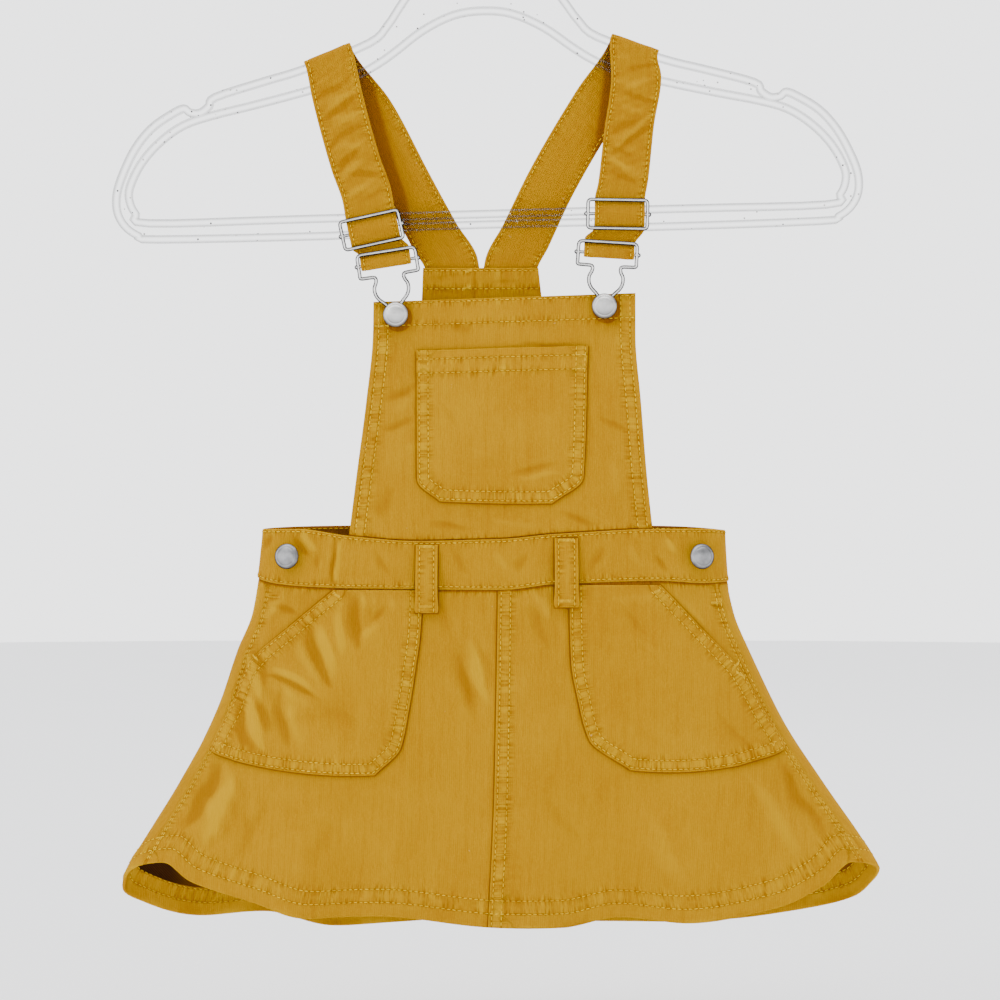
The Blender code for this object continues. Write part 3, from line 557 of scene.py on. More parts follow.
def ripple(x, drop, seed, height):
    """Slight unevenness of hanging cloth, from a few long waves."""
    random = np.random.default_rng(seed)
    total = np.zeros(np.broadcast(x, drop).shape)
    for _ in range(7):
        length = random.uniform(30, 75)
        heading, start = random.uniform(-0.5, 0.5), random.uniform(0, 6.3)
        across, down = math.cos(heading) / length, math.sin(heading) / length
        total = total + np.sin(2 * math.pi * (x * across + drop * down) + start)
    return total * height / 3


def uneven(along, seed):
    """Puckers along a seam, no two alike, with narrow dips between broad swells."""
    slow = 0.55 + 0.45 * np.sin(along / 15.7 + 2.1 * seed) * np.sin(along / 6.1 + seed)
    phase = 2 * math.pi * along / 3.9 + 1.9 * np.sin(along / 7.3 + seed)
    phase = phase + 1.1 * np.sin(along / 3.1 + 2 * seed)
    dips = 1 - 1.6 * np.abs(np.cos(phase / 2)) ** 5
    return slow * dips + 0.45 * np.sin(2 * math.pi * along / 8.9 + 1.4 * np.sin(along / 12.9 + 3 * seed))


def sewn(off, along, rows, seed, raised, pucker):
    """Relief beside a sewn edge: folded layers, a groove under each row and puckers between.

    A seam is this function's arguments: each place's distance off the edge and along it, the distances of
    its rows of stitches, a seed, and how much its layers raise it and its puckers wave.
    """
    inner = rows[-1] + 0.9
    relief = raised * eased((inner - off) / 0.8)
    for row in rows:
        relief = relief - 0.16 * bell(off - row, 0.6)
    middle, half = (rows[0] + rows[-1]) / 2, (rows[-1] - rows[0]) / 2 + 1.3
    return relief + pucker * uneven(along, seed) * bell(off - middle, half)


def from_seams(seams):
    """For each place, how far along its nearest seam it is, and how far inside its first and last row."""
    nearest = None
    for off, along, rows, *_ in seams:
        off, along = np.broadcast_arrays(off, along)
        place = np.stack((along, off - rows[0], rows[-1] - off), -1)
        outside = np.maximum(-place[..., 1], -place[..., 2])
        if nearest is None:
            nearest, least = place.copy(), outside.copy()
        closer = outside < least
        nearest[closer], least[closer] = place[closer], outside[closer]
    return nearest


def off_line(x, drop, line):
    """Distance from a line of (x, drop) points, and how far along it."""
    x, drop = np.broadcast_arrays(np.asarray(x, float), np.asarray(drop, float))
    best, along, reached = np.full(x.shape, 1e9), np.zeros(x.shape), 0.0
    for (x0, drop0), (x1, drop1) in zip(line, line[1:]):
        length = math.dist((x0, drop0), (x1, drop1))
        t = np.clip(((x - x0) * (x1 - x0) + (drop - drop0) * (drop1 - drop0)) / length ** 2, 0, 1)
        gap = np.hypot(x - x0 - t * (x1 - x0), drop - drop0 - t * (drop1 - drop0))
        along = np.where(gap < best, reached + t * length, along)
        best = np.minimum(gap, best)
        reached += length
    return best, along


def outside_of(x, drop, outline):
    """Distance from a closed outline of (x, drop) points, less than nothing inside it."""
    closed = list(outline) + [outline[0]]
    gap, _ = off_line(x, drop, closed)
    inside = np.zeros(gap.shape, bool)
    for (x0, drop0), (x1, drop1) in zip(closed, closed[1:]):
        if drop0 != drop1:
            crossing = x0 + (drop - drop0) * (x1 - x0) / (drop1 - drop0)
            inside ^= ((drop0 > drop) != (drop1 > drop)) & (x < crossing)
    return np.where(inside, -gap, gap)


def inset_line(line, distance):
    """A line moved to its inner side; it runs down the left, along the bottom and up the right."""
    points = [Vector(p) for p in line]
    moved = []
    for i, point in enumerate(points):
        before = (point - points[i - 1]).normalized() if i else None
        after = (points[i + 1] - point).normalized() if i + 1 < len(points) else None
        before, after = before or after, after or before
        along = (before + after).normalized()
        reach = distance / max(along.dot(after), 0.5)
        moved.append(point + Vector((along.y, -along.x)) * reach)
    return [tuple(p) for p in moved]


class Cloth:
    """A sewn piece: its surface, its own shape, its seams, how far it lies off and its wall.

    facing is -1 where its outer face is the surface's other side. turned_under is the thickness of a hem's
    inner layer. The last argument tells how far a place is from what lies on top of the piece, or from what
    throws shade on it, and so where the finish paints shadow on it.
    """

    def __init__(self, surface, shape, seams, lift=0.0, wall=PANEL_WALL, facing=1,
                 turned_under=None, shade_gap=None):
        self.surface, self.shape, self.seams, self.lift, self.wall = surface, shape, seams, lift, wall
        self.facing, self.turned_under, self.shade_gap = facing, turned_under, shade_gap

    def relief(self, u, drop):
        return self.shape(u, drop) + sum(sewn(*seam) for seam in self.seams(u, drop))

    def face(self, u, drop, side=1, edge=1.0, proud=0.0):
        """Points on the outer (side 1) or inner (side -1) face."""
        beside = self.surface(u + PROBE, drop) - self.surface(u - PROBE, drop)
        below = self.surface(u, drop + PROBE) - self.surface(u, drop - PROBE)
        out = np.cross(below, beside)
        out *= self.facing / np.linalg.norm(out, axis=-1, keepdims=True)
        off = self.lift + self.relief(u, drop) + side * (self.wall / 2 * edge + proud)
        if side < 0 and self.turned_under is not None:
            off = off - self.turned_under(u, drop) * edge
        return self.surface(u, drop) + out * off[..., None]


def spaced(length, step):
    """Shares from 0 to 1 along a length, closer together at both ends."""
    ends = [0, 0.25, 0.7, 1.3, 2.0]
    inner = max(int(round((length - 2 * ends[-1]) / step)), 2)
    middle = list(np.linspace(ends[-1], length - ends[-1], inner + 1))
    return np.array(ends[:-1] + middle + [length - e for e in reversed(ends[:-1])]) / length


def edge_share(count):
    share = np.ones(count)
    share[[0, -1]], share[[1, -2]], share[[2, -3]] = 0.35, 0.75, 0.94
    return share


def high_spots(relief):
    """Where the relief stands above or below what lies round it, from -1 to 1."""
    rows, columns = relief.shape
    around = np.zeros(relief.shape)
    for step in (3, 6):
        for down, across in ((step, 0), (-step, 0), (0, step), (0, -step)):
            i = np.clip(np.arange(rows) + down, 0, rows - 1)
            j = np.clip(np.arange(columns) + across, 0, columns - 1)
            around += relief[np.ix_(i, j)]
    stands = relief - around / 8
    return np.clip(np.sign(stands) * np.maximum(np.abs(stands) - 0.05, 0) / 0.28, -1, 1)


def sheet_mesh(name, cloth, u, drop, wale_u, wale_v, folded=False, worn=0.0):
    """A closed thin wall on a grid of places, with its wales' map, its seams, and its high spots and hollows,
    which the finish paints lighter and darker as crease highlight and shade, with its cut edges lighter.

    A folded piece and a turned hem show the face of the cloth inside too. worn makes the whole piece paler,
    or deeper where it is less than nothing.
    """
    u, drop = (np.ascontiguousarray(values) for values in np.broadcast_arrays(u, drop))
    rows, columns = u.shape
    edge = np.minimum(edge_share(rows)[:, None], edge_share(columns)[None, :])
    outer, inner = (cloth.face(u, drop, side, edge) for side in (1, -1))
    places = np.concatenate((outer.reshape(-1, 3), inner.reshape(-1, 3))) * MM
    count = rows * columns
    grid = np.arange(count).reshape(rows, columns)
    a, b, c, d = grid[:-1, :-1].ravel(), grid[1:, :-1].ravel(), grid[1:, 1:].ravel(), grid[:-1, 1:].ravel()
    front = np.stack((a, b, c, d), 1)
    back = np.stack((d, c, b, a), 1) + count
    rim = np.concatenate((grid[0, :], grid[1:, -1], grid[-1, -2::-1], grid[-2:0:-1, 0]))
    following = np.roll(rim, -1)
    side = np.stack((rim, following, following + count, rim + count), 1)
    faces = np.concatenate((front, back, side))
    if cloth.facing < 0:
        faces = faces[:, ::-1]
    mesh = bpy.data.meshes.new(name)
    mesh.vertices.add(len(places))
    mesh.vertices.foreach_set("co", places.astype(np.float32).ravel())
    mesh.loops.add(faces.size)
    mesh.loops.foreach_set("vertex_index", faces.astype(np.int32).ravel())
    mesh.polygons.add(len(faces))
    mesh.polygons.foreach_set("loop_start", np.arange(0, faces.size, 4, dtype=np.int32))
    mesh.update()
    wales = np.stack((np.broadcast_to(wale_u, u.shape).ravel(), np.broadcast_to(wale_v, u.shape).ravel()), 1)
    wales = np.concatenate((wales, wales))[faces.ravel()]
    mesh.uv_layers.new(name="wales").data.foreach_set("uv", wales.astype(np.float32).ravel())
    # Painted highlight on high spots and painted shade in hollows of the relief; cut edges lighter; worn
    # shifts the whole piece.
    wear_and_shade = high_spots(cloth.relief(u, drop)) + 0.45 * (edge < 0.9) + worn
    # Painted shadow beside what lies on top goes on the face that shows: the outer one, or the inner one of a
    # folded piece.
    bare = np.full(u.shape, FAR)
    shade_gap = cloth.shade_gap(u, drop) if cloth.shade_gap else bare
    faced = (bare, shade_gap) if folded else (shade_gap, bare)
    for key, values in (("wear_and_shade", (wear_and_shade, wear_and_shade)), ("shade_gap", faced)):
        values = np.concatenate([face.ravel() for face in values]).astype(np.float32)
        mesh.attributes.new(key, "FLOAT", "POINT").data.foreach_set("value", values)
    seam = from_seams(cloth.seams(u, drop)).reshape(-1, 3)
    seam = np.concatenate((seam, seam)).astype(np.float32)
    mesh.attributes.new("seam", "FLOAT_VECTOR", "POINT").data.foreach_set("vector", seam.ravel())
    mesh.materials.append(CORDUROY)
    mesh.materials.append(REVERSE)
    sides = np.zeros(len(faces), np.int32)
    inside = np.zeros(u.shape, bool) if cloth.turned_under is None else cloth.turned_under(u, drop) > 0.3
    sides[len(front):2 * len(front)] = 0 if folded else np.where(inside[:-1, :-1].ravel(), 0, 1)
    mesh.polygons.foreach_set("material_index", sides)
    mesh.shade_smooth()
    mesh.validate()
    piece = linked(bpy.data.objects.new(name + "_cloth", mesh))
    put(piece, name)
    return piece


def linked(thing):
    bpy.context.scene.collection.objects.link(thing)
    return thing


def put(piece, node):
    """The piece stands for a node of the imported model."""
    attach(piece, "root")
    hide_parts(node)


STITCHES, TACKS = [], []


def stitch(cloth, u, drop, sides=(1,)):
    """A row of stitches on a cloth's faces."""
    for side in sides:
        STITCHES.append(cloth.face(np.asarray(u, float), np.asarray(drop, float), side, 1.0, 0.03))


def tacks(cloth, x, drop, length, tilt):
    """A bar of close stitches across a line."""
    for place in np.arange(-length / 2, length / 2 + 0.01, 0.62):
        u = x + place * math.cos(tilt) + np.array((-0.12, 0.12))
        v = drop + place * math.sin(tilt) + np.array((-0.75, 0.75))
        TACKS.append(cloth.face(u, v, 1, 1.0, 0.08))


def dense(line, step=0.8):
    """Points close together along a line of (x, drop)."""
    line = np.array(line)
    reached = np.concatenate(([0], np.cumsum(np.hypot(*np.diff(line, axis=0).T))))
    at = np.linspace(0, reached[-1], max(int(reached[-1] / step), 2))
    return np.interp(at, reached, line[:, 0]), np.interp(at, reached, line[:, 1])


# ---------------------------------------------------------------- finishes
class Tree:
    """A node tree being built. Wherever a value is asked for, another node's socket may be given."""

    def __init__(self, owner):
        self.nodes, self.links = owner.nodes, owner.links

    def add(self, kind, values=None, **settings):
        node = self.nodes.new(kind)
        for key, setting in settings.items():
            setattr(node, key, setting)
        for key, value in (values or {}).items():
            self.feed(node.inputs[key], value)
        return node

    def feed(self, socket, value):
        if isinstance(value, bpy.types.NodeSocket):
            self.links.new(value, socket)
        else:
            socket.default_value = value

    def maths(self, operation, *values):
        return self.add("ShaderNodeMath", dict(enumerate(values)), operation=operation).outputs[0]

    def total(self, *values):
        result = values[0]
        for value in values[1:]:
            result = self.maths("ADD", result, value)
        return result

    def times(self, *values):
        result = values[0]
        for value in values[1:]:
            result = self.maths("MULTIPLY", result, value)
        return result

    def ranged(self, value, low, high, to_low, to_high, change="LINEAR"):
        """The value, moved from the range of low to high to that of to_low to to_high, and held in it."""
        values = dict(enumerate((value, low, high, to_low, to_high)))
        return self.add("ShaderNodeMapRange", values, interpolation_type=change).outputs[0]

    def smooth(self, *values):
        return self.ranged(*values, change="SMOOTHSTEP")

    def split(self, vector):
        return self.add("ShaderNodeSeparateXYZ", {0: vector}).outputs

    def noise(self, vector, scale, detail=2.0, roughness=0.5):
        values = {"Vector": vector, "Scale": scale, "Detail": detail, "Roughness": roughness}
        return self.add("ShaderNodeTexNoise", values).outputs["Fac"]

    def stretched(self, first, second, first_scale, second_scale, detail, roughness):
        """Noise that is longer one way than the other."""
        place = self.add("ShaderNodeCombineXYZ", {0: self.times(first, first_scale),
                                                  1: self.times(second, second_scale)})
        return self.noise(place.outputs[0], 1.0, detail, roughness)

    def mix(self, share, first, second):
        values = {0: share, 6: first, 7: second}
        return self.add("ShaderNodeMix", values, data_type="RGBA").outputs[2]

    def layered(self, colour, layers):
        """A colour with other tones laid over it, each by its share."""
        for share, tone in layers:
            colour = self.mix(share, colour, tone)
        return colour


class Finish(Tree):
    """A material being built, with its shader and the place on the object."""

    def __init__(self, name):
        self.material = bpy.data.materials.new(name)
        self.material.use_nodes = True
        super().__init__(self.material.node_tree)
        self.shader = self.nodes["Principled BSDF"]
        self.place = self.add("ShaderNodeTexCoord").outputs["Object"]

    def wales(self):
        return self.add("ShaderNodeUVMap", uv_map="wales").outputs[0]

    def attribute(self, name, output="Fac"):
        return self.add("ShaderNodeAttribute", attribute_name=name).outputs[output]

    def bump(self, height, strength, distance):
        bump = self.add("ShaderNodeBump", {"Strength": strength, "Distance": distance, "Height": height})
        self.feed(self.shader.inputs["Normal"], bump.outputs[0])

    def done(self, values):
        for key, value in values.items():
            self.feed(self.shader.inputs[key], value)
        return self.material


WALE_PITCH = 1.0
PULL_PITCH = 3.1
DEEP, PLAIN, LIGHT = (0.185, 0.050, 0.0, 1), (0.37, 0.176, 0.0, 1), (0.54, 0.318, 0.0, 1)
NAP_LOW, NAP_HIGH = (0.346, 0.152, 0.0, 1), (0.395, 0.193, 0.0, 1)
SHADE, LINT = (0.15, 0.036, 0.0, 1), (0.70, 0.50, 0.20, 1)


def wale_marks(finish):
    """The ribs, the furrows between them where the pile is worn, and long brushed streaks."""
    across, along, _ = finish.split(finish.wales())
    waver = finish.ranged(finish.noise(finish.place, 60.0), 0.3, 0.7, -0.3, 0.3)
    turn = finish.times(finish.total(across, waver), 2 * math.pi / WALE_PITCH)
    rib = finish.ranged(finish.maths("SINE", turn), -1, 1, 0, 1)
    worn = finish.smooth(finish.stretched(across, along, 0.9, 0.12, 3.0, 0.6), 0.36, 0.64, 0.15, 1.0)
    furrow = finish.times(finish.smooth(rib, 0.0, 0.6, 1.0, 0.0), worn)
    return rib, furrow, finish.stretched(across, along, 0.34, 0.022, 4.0, 0.62)


def seam_marks(finish):
    """Beside a seam: the groove of its first and last row, and the narrow pulls and swells between, which
    the finish paints darker and lighter as the puckers' shade and highlight.
    """
    run, inward, outward = finish.split(finish.attribute("seam", "Vector"))
    edges = finish.smooth(inward, -1.6, -0.2, 0.0, 1.0), finish.smooth(outward, -4.2, -0.2, 0.0, 1.0)
    near_row = finish.smooth(finish.maths("MINIMUM", inward, outward), 1.2, 3.6, 1.0, 0.10)
    zone = finish.times(*edges, near_row)
    grooves = [finish.times(finish.smooth(finish.maths("ABSOLUTE", row), 0.22, 0.62, 1.0, 0.0),
                            finish.smooth(other, -0.5, 0.0, 0.0, 1.0))
               for row, other in ((inward, outward), (outward, inward))]
    drift = finish.times(finish.stretched(run, inward, 0.21, 0.02, 2.0, 0.6), 15.0)
    phase = finish.total(finish.times(run, math.pi / PULL_PITCH), drift, finish.times(inward, 0.10))
    dip = finish.maths("ABSOLUTE", finish.maths("COSINE", phase))
    some = finish.smooth(finish.stretched(run, inward, 0.16, 0.10, 2.0, 0.6), 0.36, 0.60, 0.12, 1.0)
    pull = finish.times(finish.maths("POWER", dip, 7.0), zone, some)
    swell = finish.times(finish.smooth(dip, 0.55, 0.0, 0.0, 1.0), zone, some)
    return finish.maths("MAXIMUM", *grooves), pull, swell


def corduroy():
    """Fine-wale corduroy: ribs, brushed streaks, nap, lighter edges, painted highlight and shade on its
    creases and seam puckers, painted shadow beside what lies on it, and the look of its seams.
    """
    finish = Finish("mustard_corduroy")
    rib, furrow, streak = wale_marks(finish)
    groove, pull, swell = seam_marks(finish)
    nap = finish.noise(finish.place, 30.0, 4.0, 0.62)
    tufts = finish.noise(finish.place, 900.0, 2.0, 0.6)
    patches = finish.noise(finish.place, 9.0)
    lint = finish.noise(finish.place, 330.0, 1.0)
    wear_and_shade, shade_gap = finish.attribute("wear_and_shade"), finish.attribute("shade_gap")
    colour = finish.mix(finish.ranged(nap, 0.34, 0.68, 0.0, 1.0), NAP_LOW, NAP_HIGH)
    colour = finish.layered(colour, (
        (finish.ranged(patches, 0.35, 0.65, 0.0, 0.5), PLAIN),
        (finish.ranged(streak, 0.34, 0.68, 0.0, 0.16), LIGHT),
        (finish.ranged(streak, 0.44, 0.26, 0.0, 0.10), DEEP),
        (finish.times(furrow, 0.26), DEEP),
        (finish.ranged(tufts, 0.45, 0.75, 0.0, 0.20), LIGHT),
        # Painted highlight on the relief's high spots and painted shade in its hollows, with cut edges
        # lighter.
        (finish.ranged(wear_and_shade, 0.05, 1.0, 0.0, 0.5), LIGHT),
        (finish.ranged(wear_and_shade, -0.05, -1.0, 0.0, 0.46), DEEP),
        # Painted highlight on the pucker swells and painted shade in the pulls between them.
        (finish.times(swell, 0.45), LIGHT),
        (finish.times(pull, 0.55), DEEP),
        (finish.times(groove, 0.50), DEEP),
        # Painted shadow beside what lies on top, and fainter painted shade a little further out.
        (finish.times(finish.smooth(shade_gap, 0.30, 1.0, 1.0, 0.0), 0.72), SHADE),
        (finish.times(finish.smooth(shade_gap, 0.5, 3.0, 1.0, 0.0), 0.14), DEEP),
        (finish.ranged(lint, 0.80, 0.86, 0.0, 0.4), LINT)))
    parts = ((rib, 0.7), (tufts, 0.45), (nap, 2.2), (streak, 0.6), (pull, -1.5), (swell, 1.2), (groove, -1.5))
    finish.bump(finish.total(*(finish.times(part, share) for part, share in parts)), 0.6, 0.00026)
    return finish.done({
        "Base Color": colour, "Roughness": finish.ranged(nap, 0.3, 0.7, 0.82, 0.97),
        "Specular IOR Level": 0.06, "Specular Tint": (1.0, 0.62, 0.06, 1),
        "Sheen Weight": 0.10, "Sheen Roughness": 0.5, "Sheen Tint": (1.0, 0.55, 0.03, 1)})


def corduroy_reverse():
    """The plain twill back of the cloth, deeper and browner than its face, partly as its own tone and partly
    as painted shade for the inside of the dress, and painted near-black shadow in the hem's left end.
    """
    finish = Finish("corduroy_reverse")
    twill = finish.add("ShaderNodeTexWave", {"Vector": finish.wales(), "Scale": 0.45, "Distortion": 0.6},
                       bands_direction="DIAGONAL").outputs["Fac"]
    fluff = finish.noise(finish.place, 240.0, 3.0, 0.6)
    patches = finish.noise(finish.place, 22.0, 3.0)
    x, _, z = finish.split(finish.place)
    # Painted shadow: towards the left and low down the back turns near black, as in the hem's shaded left
    # end.
    far_left, low_down = finish.ranged(x, -0.12, -0.155, 0.0, 0.92), finish.ranged(z, -0.44, -0.49, 0.0, 1.0)
    # The back's own deeper tone, made deeper still as painted shade for the inside of the dress.
    deeper, plainer = (0.19, 0.060, 0.0, 1), (0.25, 0.088, 0.0, 1)
    colour = finish.mix(finish.ranged(patches, 0.35, 0.65, 0.0, 1.0), deeper, plainer)
    colour = finish.layered(colour, (
        (finish.ranged(twill, 0.0, 1.0, 0.0, 0.25), (0.12, 0.034, 0.0, 1)),
        (finish.ranged(fluff, 0.5, 0.75, 0.0, 0.25), (0.34, 0.14, 0.0, 1)),
        # Painted shadow in the hem's left end.
        (finish.times(far_left, low_down), (0.02, 0.006, 0.002, 1))))
    finish.bump(finish.total(twill, fluff), 0.5, 0.0002)
    return finish.done({"Base Color": colour, "Roughness": 0.95, "Specular IOR Level": 0.06})


def thread():
    finish = Finish("yellow_thread")
    tone, worn = finish.noise(finish.place, 420.0), finish.noise(finish.place, 34.0)
    dull, bright, wear_and_shade = (0.54, 0.32, 0.0, 1), (0.76, 0.50, 0.01, 1), (0.50, 0.27, 0.0, 1)
    colour = finish.mix(finish.ranged(tone, 0.35, 0.65, 0.0, 1.0), dull, bright)
    colour = finish.mix(finish.ranged(worn, 0.42, 0.62, 0.0, 0.6), colour, wear_and_shade)
    finish.bump(tone, 0.5, 0.0001)
    return finish.done({"Base Color": colour, "Roughness": 0.7, "Specular IOR Level": 0.15,
                        "Specular Tint": (1.0, 0.75, 0.25, 1)})


def nickel(name, dull, bright, roughness, turning, under):
    """Nickel plate: slightly cloudy, with a fine satin grain; painted dark where it turns away from view,
    standing in for dark reflections at its edges, and where it faces down, as painted shade.
    """
    finish = Finish(name)
    dark = (0.02, 0.02, 0.022, 1)
    cloud, grain = finish.noise(finish.place, 160.0, 4.0), finish.noise(finish.place, 1800.0)
    rim = finish.add("ShaderNodeLayerWeight", {0: 0.5}).outputs["Facing"]
    _, _, upward = finish.split(finish.add("ShaderNodeTexCoord").outputs["Normal"])
    colour = finish.mix(finish.ranged(cloud, 0.35, 0.65, 0.0, 1.0), dull, bright)
    # Painted dark reflection where the surface turns away from view, and painted shade where it faces down.
    colour = finish.layered(colour, ((finish.ranged(rim, *turning), dark),
                                     (finish.ranged(upward, 0.12, -0.45, 0.0, under), dark)))
    finish.bump(grain, 0.12, 0.0001)
    return finish.done({"Base Color": colour, "Roughness": finish.ranged(grain, 0.3, 0.7, *roughness),
                        "Metallic": 1.0, "Specular Tint": (0.10, 0.10, 0.10, 1)})


def clear_plastic():
    """Clear moulded plastic with sparse dark and bright flecks, and a dark grey tint that shows most where it
    turns away, painted in for the darker rims its refraction and reflections show.
    """
    finish = Finish("clear_plastic")
    cells = finish.add("ShaderNodeTexVoronoi", {"Vector": finish.place, "Scale": 300.0, "Randomness": 1.0})
    chance, shade, _ = finish.add("ShaderNodeSeparateColor", {0: cells.outputs["Color"]}).outputs
    fleck = finish.times(finish.maths("GREATER_THAN", chance, 0.78),
                         finish.maths("LESS_THAN", cells.outputs["Distance"], 0.15))
    haze = finish.noise(finish.place, 24.0, 3.0)
    # A dark grey tint, painted in for the darker reflections and refraction at the rims; the alpha below
    # shows it most where the surface turns away.
    clear = finish.mix(haze, (0.05, 0.049, 0.047, 1), (0.10, 0.10, 0.10, 1))
    tone = finish.mix(shade, (0.10, 0.10, 0.11, 1), (0.62, 0.60, 0.58, 1))
    turning = finish.add("ShaderNodeLayerWeight", {0: 0.5}).outputs["Facing"]
    body = finish.ranged(turning, 0.02, 0.45, 0.01, 0.40)
    finish.bump(haze, 0.10, 0.0006)
    return finish.done({"Base Color": finish.mix(fleck, clear, tone), "IOR": 1.45, "Specular IOR Level": 0.3,
                        "Roughness": finish.ranged(haze, 0.3, 0.7, 0.06, 0.14),
                        "Alpha": finish.maths("MAXIMUM", body, fleck)})


CORDUROY, REVERSE, THREAD, PLASTIC = corduroy(), corduroy_reverse(), thread(), clear_plastic()
# For each nickel, the last two values set where its painted dark edge begins and ends, and how deep its
# painted shade on faces turned down goes.
SATIN, TURNING_EDGE = (0.40, 0.52), (0.20, 0.75, 0.0, 0.92)
WIRE_NICKEL = nickel("bright_nickel", (0.78, 0.77, 0.75, 1), (0.97, 0.96, 0.94, 1), (0.15, 0.26),
                     (0.02, 0.20, 0.0, 0.98), 0.7)
BUTTON_NICKEL = nickel("satin_nickel", (0.56, 0.55, 0.535, 1), (0.80, 0.79, 0.77, 1), SATIN,
                       TURNING_EDGE, 0.62)
DARK_NICKEL = nickel("dark_nickel", (0.19, 0.19, 0.195, 1), (0.40, 0.40, 0.405, 1), SATIN,
                     TURNING_EDGE, 0.4)


# ---------------------------------------------------------------- waistband and skirt
def even_share(start, end, drop, shares):
    """Shares of the turn between two seams that lie evenly along the cloth, and the cloth's length."""
    turns = np.linspace(start, end, RING_SAMPLES)
    steps = np.linalg.norm(np.diff(ring(turns, drop), axis=0), axis=1)
    reached = np.concatenate(([0], np.cumsum(steps)))
    return np.interp(shares, reached / reached[-1], np.linspace(0, 1, RING_SAMPLES)), reached[-1]


def arc_at(turn, drop):
    """Distance along the ring from the left side, near enough for puckers."""
    turns = np.linspace(0, FULL_TURN, ARC_SAMPLES)
    steps = np.linalg.norm(np.diff(ring(turns, drop), axis=0), axis=1)
    return np.interp(turn % FULL_TURN, turns, np.concatenate(([0], np.cumsum(steps))))


def on_front(turn):
    return np.sin(np.radians(turn)) > 0


def waist_edges(turn):
    return WAIST.at("top", turn % FULL_TURN), WAIST.at("bottom", turn % FULL_TURN)


def above_hem(turn, drop):
    return HEM.at("drop", turn % FULL_TURN) - drop


def band_shape(turn, drop):
    x = ring(turn, drop)[..., 0]
    shape = np.where(on_front(turn), creases(BAND_CREASES, x, drop), creases(BAND_CREASES, 22 - x, drop))
    return shape + ripple(arc_at(turn, BAND_LEVEL), drop, 3, 0.22)


def band_seams(turn, drop):
    top, bottom = waist_edges(turn)
    along = arc_at(turn, BAND_LEVEL)
    return ((drop - top, along, (BAND_ROW,), 1.3, 0.12, 0.14),
            (bottom - drop, along + 400, (BAND_ROW,), 2.7, 0.15, 0.22))


# Distance outside the belt loops, which sets the painted shadow round them.
def under_loops(x, drop):
    return np.minimum(*(outside_of(x, drop, [(x0 - width / 2, top), (x0 - width / 2, bottom),
                                             (x0 + width / 2, bottom), (x0 + width / 2, top)])
                        for _, x0, top, bottom, width in BELT_LOOPS))


# The front band gets painted shadow round the belt loops.
def band_shade_gap(turn, drop):
    return np.where(on_front(turn), under_loops(ring(turn, drop)[..., 0], drop), FAR)


BAND = Cloth(ring, band_shape, band_seams, lift=BAND_LIFT, wall=BAND_WALL, shade_gap=band_shade_gap)


def make_waistband(name, start, end):
    _, length = even_share(start, end, BAND_LEVEL, 0)
    shares, _ = even_share(start, end, BAND_LEVEL, spaced(length, 1.0))
    turn = between(start, end, shares)
    drop = between(*waist_edges(turn), spaced(24.0, 0.9)[:, None])
    piece = sheet_mesh(name, BAND, turn, drop, arc_at(turn, BAND_LEVEL), drop)
    row = np.linspace(start + 0.6, end - 0.6, 900)
    top, bottom = waist_edges(row)
    for place in (top + BAND_ROW, bottom - BAND_ROW):
        stitch(BAND, row, place, BOTH_FACES)


# ---- pocket outlines ----
def patch_places(table, across, down):
    x = between(table.at("left", down), table.at("right", down), across)
    drop = between(table.at("left_drop", down), table.at("right_drop", down), across)
    return x, drop + table.at("sag", down) * 4 * across * (1 - across)


def patch_outline(table):
    """Down the left edge, along the bottom and up the right edge."""
    down, across = np.linspace(0, 1, 41), np.linspace(0, 1, 25)
    runs = [patch_places(table, 0.0, down), patch_places(table, across[1:], np.ones(24)),
            patch_places(table, 1.0, down[::-1][1:])]
    return [(float(x), float(drop)) for run in runs for x, drop in zip(*run)]


# ---- skirt ----
def front_shape(x, drop):
    waist = WAIST.at("bottom", front_turn(x, WAIST_FOOT))
    return eased((drop - waist) / 7) * (creases(SKIRT_CREASES, x, drop) + ripple(x, drop, 5, 0.3))


def skirt_shape(turn, drop):
    """Creases of the front or back, and the hem's uneven edge."""
    x = ring(turn, drop)[..., 0]
    _, waist = waist_edges(turn)
    behind = eased((drop - waist) / 7) * (creases(BACK_CREASES, x, drop) + ripple(x, drop, 11, 0.5))
    along = arc_at(turn, HEM_LEVEL)
    uneven_edge = 0.5 * bell(above_hem(turn, drop), 3.0) * np.sin(along / 9.0) * np.sin(along / 23.0 + 1)
    return np.where(on_front(turn), front_shape(x, drop), behind) + uneven_edge


def hem_and_waist(turn, drop):
    along = arc_at(turn, HEM_LEVEL)
    _, waist = waist_edges(turn)
    return [(above_hem(turn, drop), along, HEM_ROWS, 0.7, 0.10, 0.30),
            (drop - waist, along, (-0.6, 0.8), 4.1, 0.0, 0.26)]


def from_side(turn, drop, seam):
    """Distance from a side seam, measured across the cloth."""
    return np.linalg.norm(ring(turn, drop) - ring(seam, drop), axis=-1)


def off_centre(turn, drop):
    """Distance to the right of the skirt's centre seam."""
    return ring(turn, drop)[..., 0] - CENTRE_SEAM.at("x", drop)


def left_seams(turn, drop):
    side = from_side(turn, drop, LEFT_SEAM)
    return [*hem_and_waist(turn, drop), (side, drop + 90, LEFT_SIDE_ROWS, 3.4, 0.2, 0.2)]


def right_seams(turn, drop):
    side = from_side(turn, drop, RIGHT_SEAM)
    return [*hem_and_waist(turn, drop), (off_centre(turn, drop), drop, SEAM_ROWS, 2.2, 0.42, 0.34),
            (side, drop + 90, RIGHT_SIDE_ROWS, 1.6, 0.25, 0.2)]


# Distance below the waistband's foot, which sets the painted shadow under it.
def below_waist(turn, drop):
    return drop - waist_edges(turn)[1]


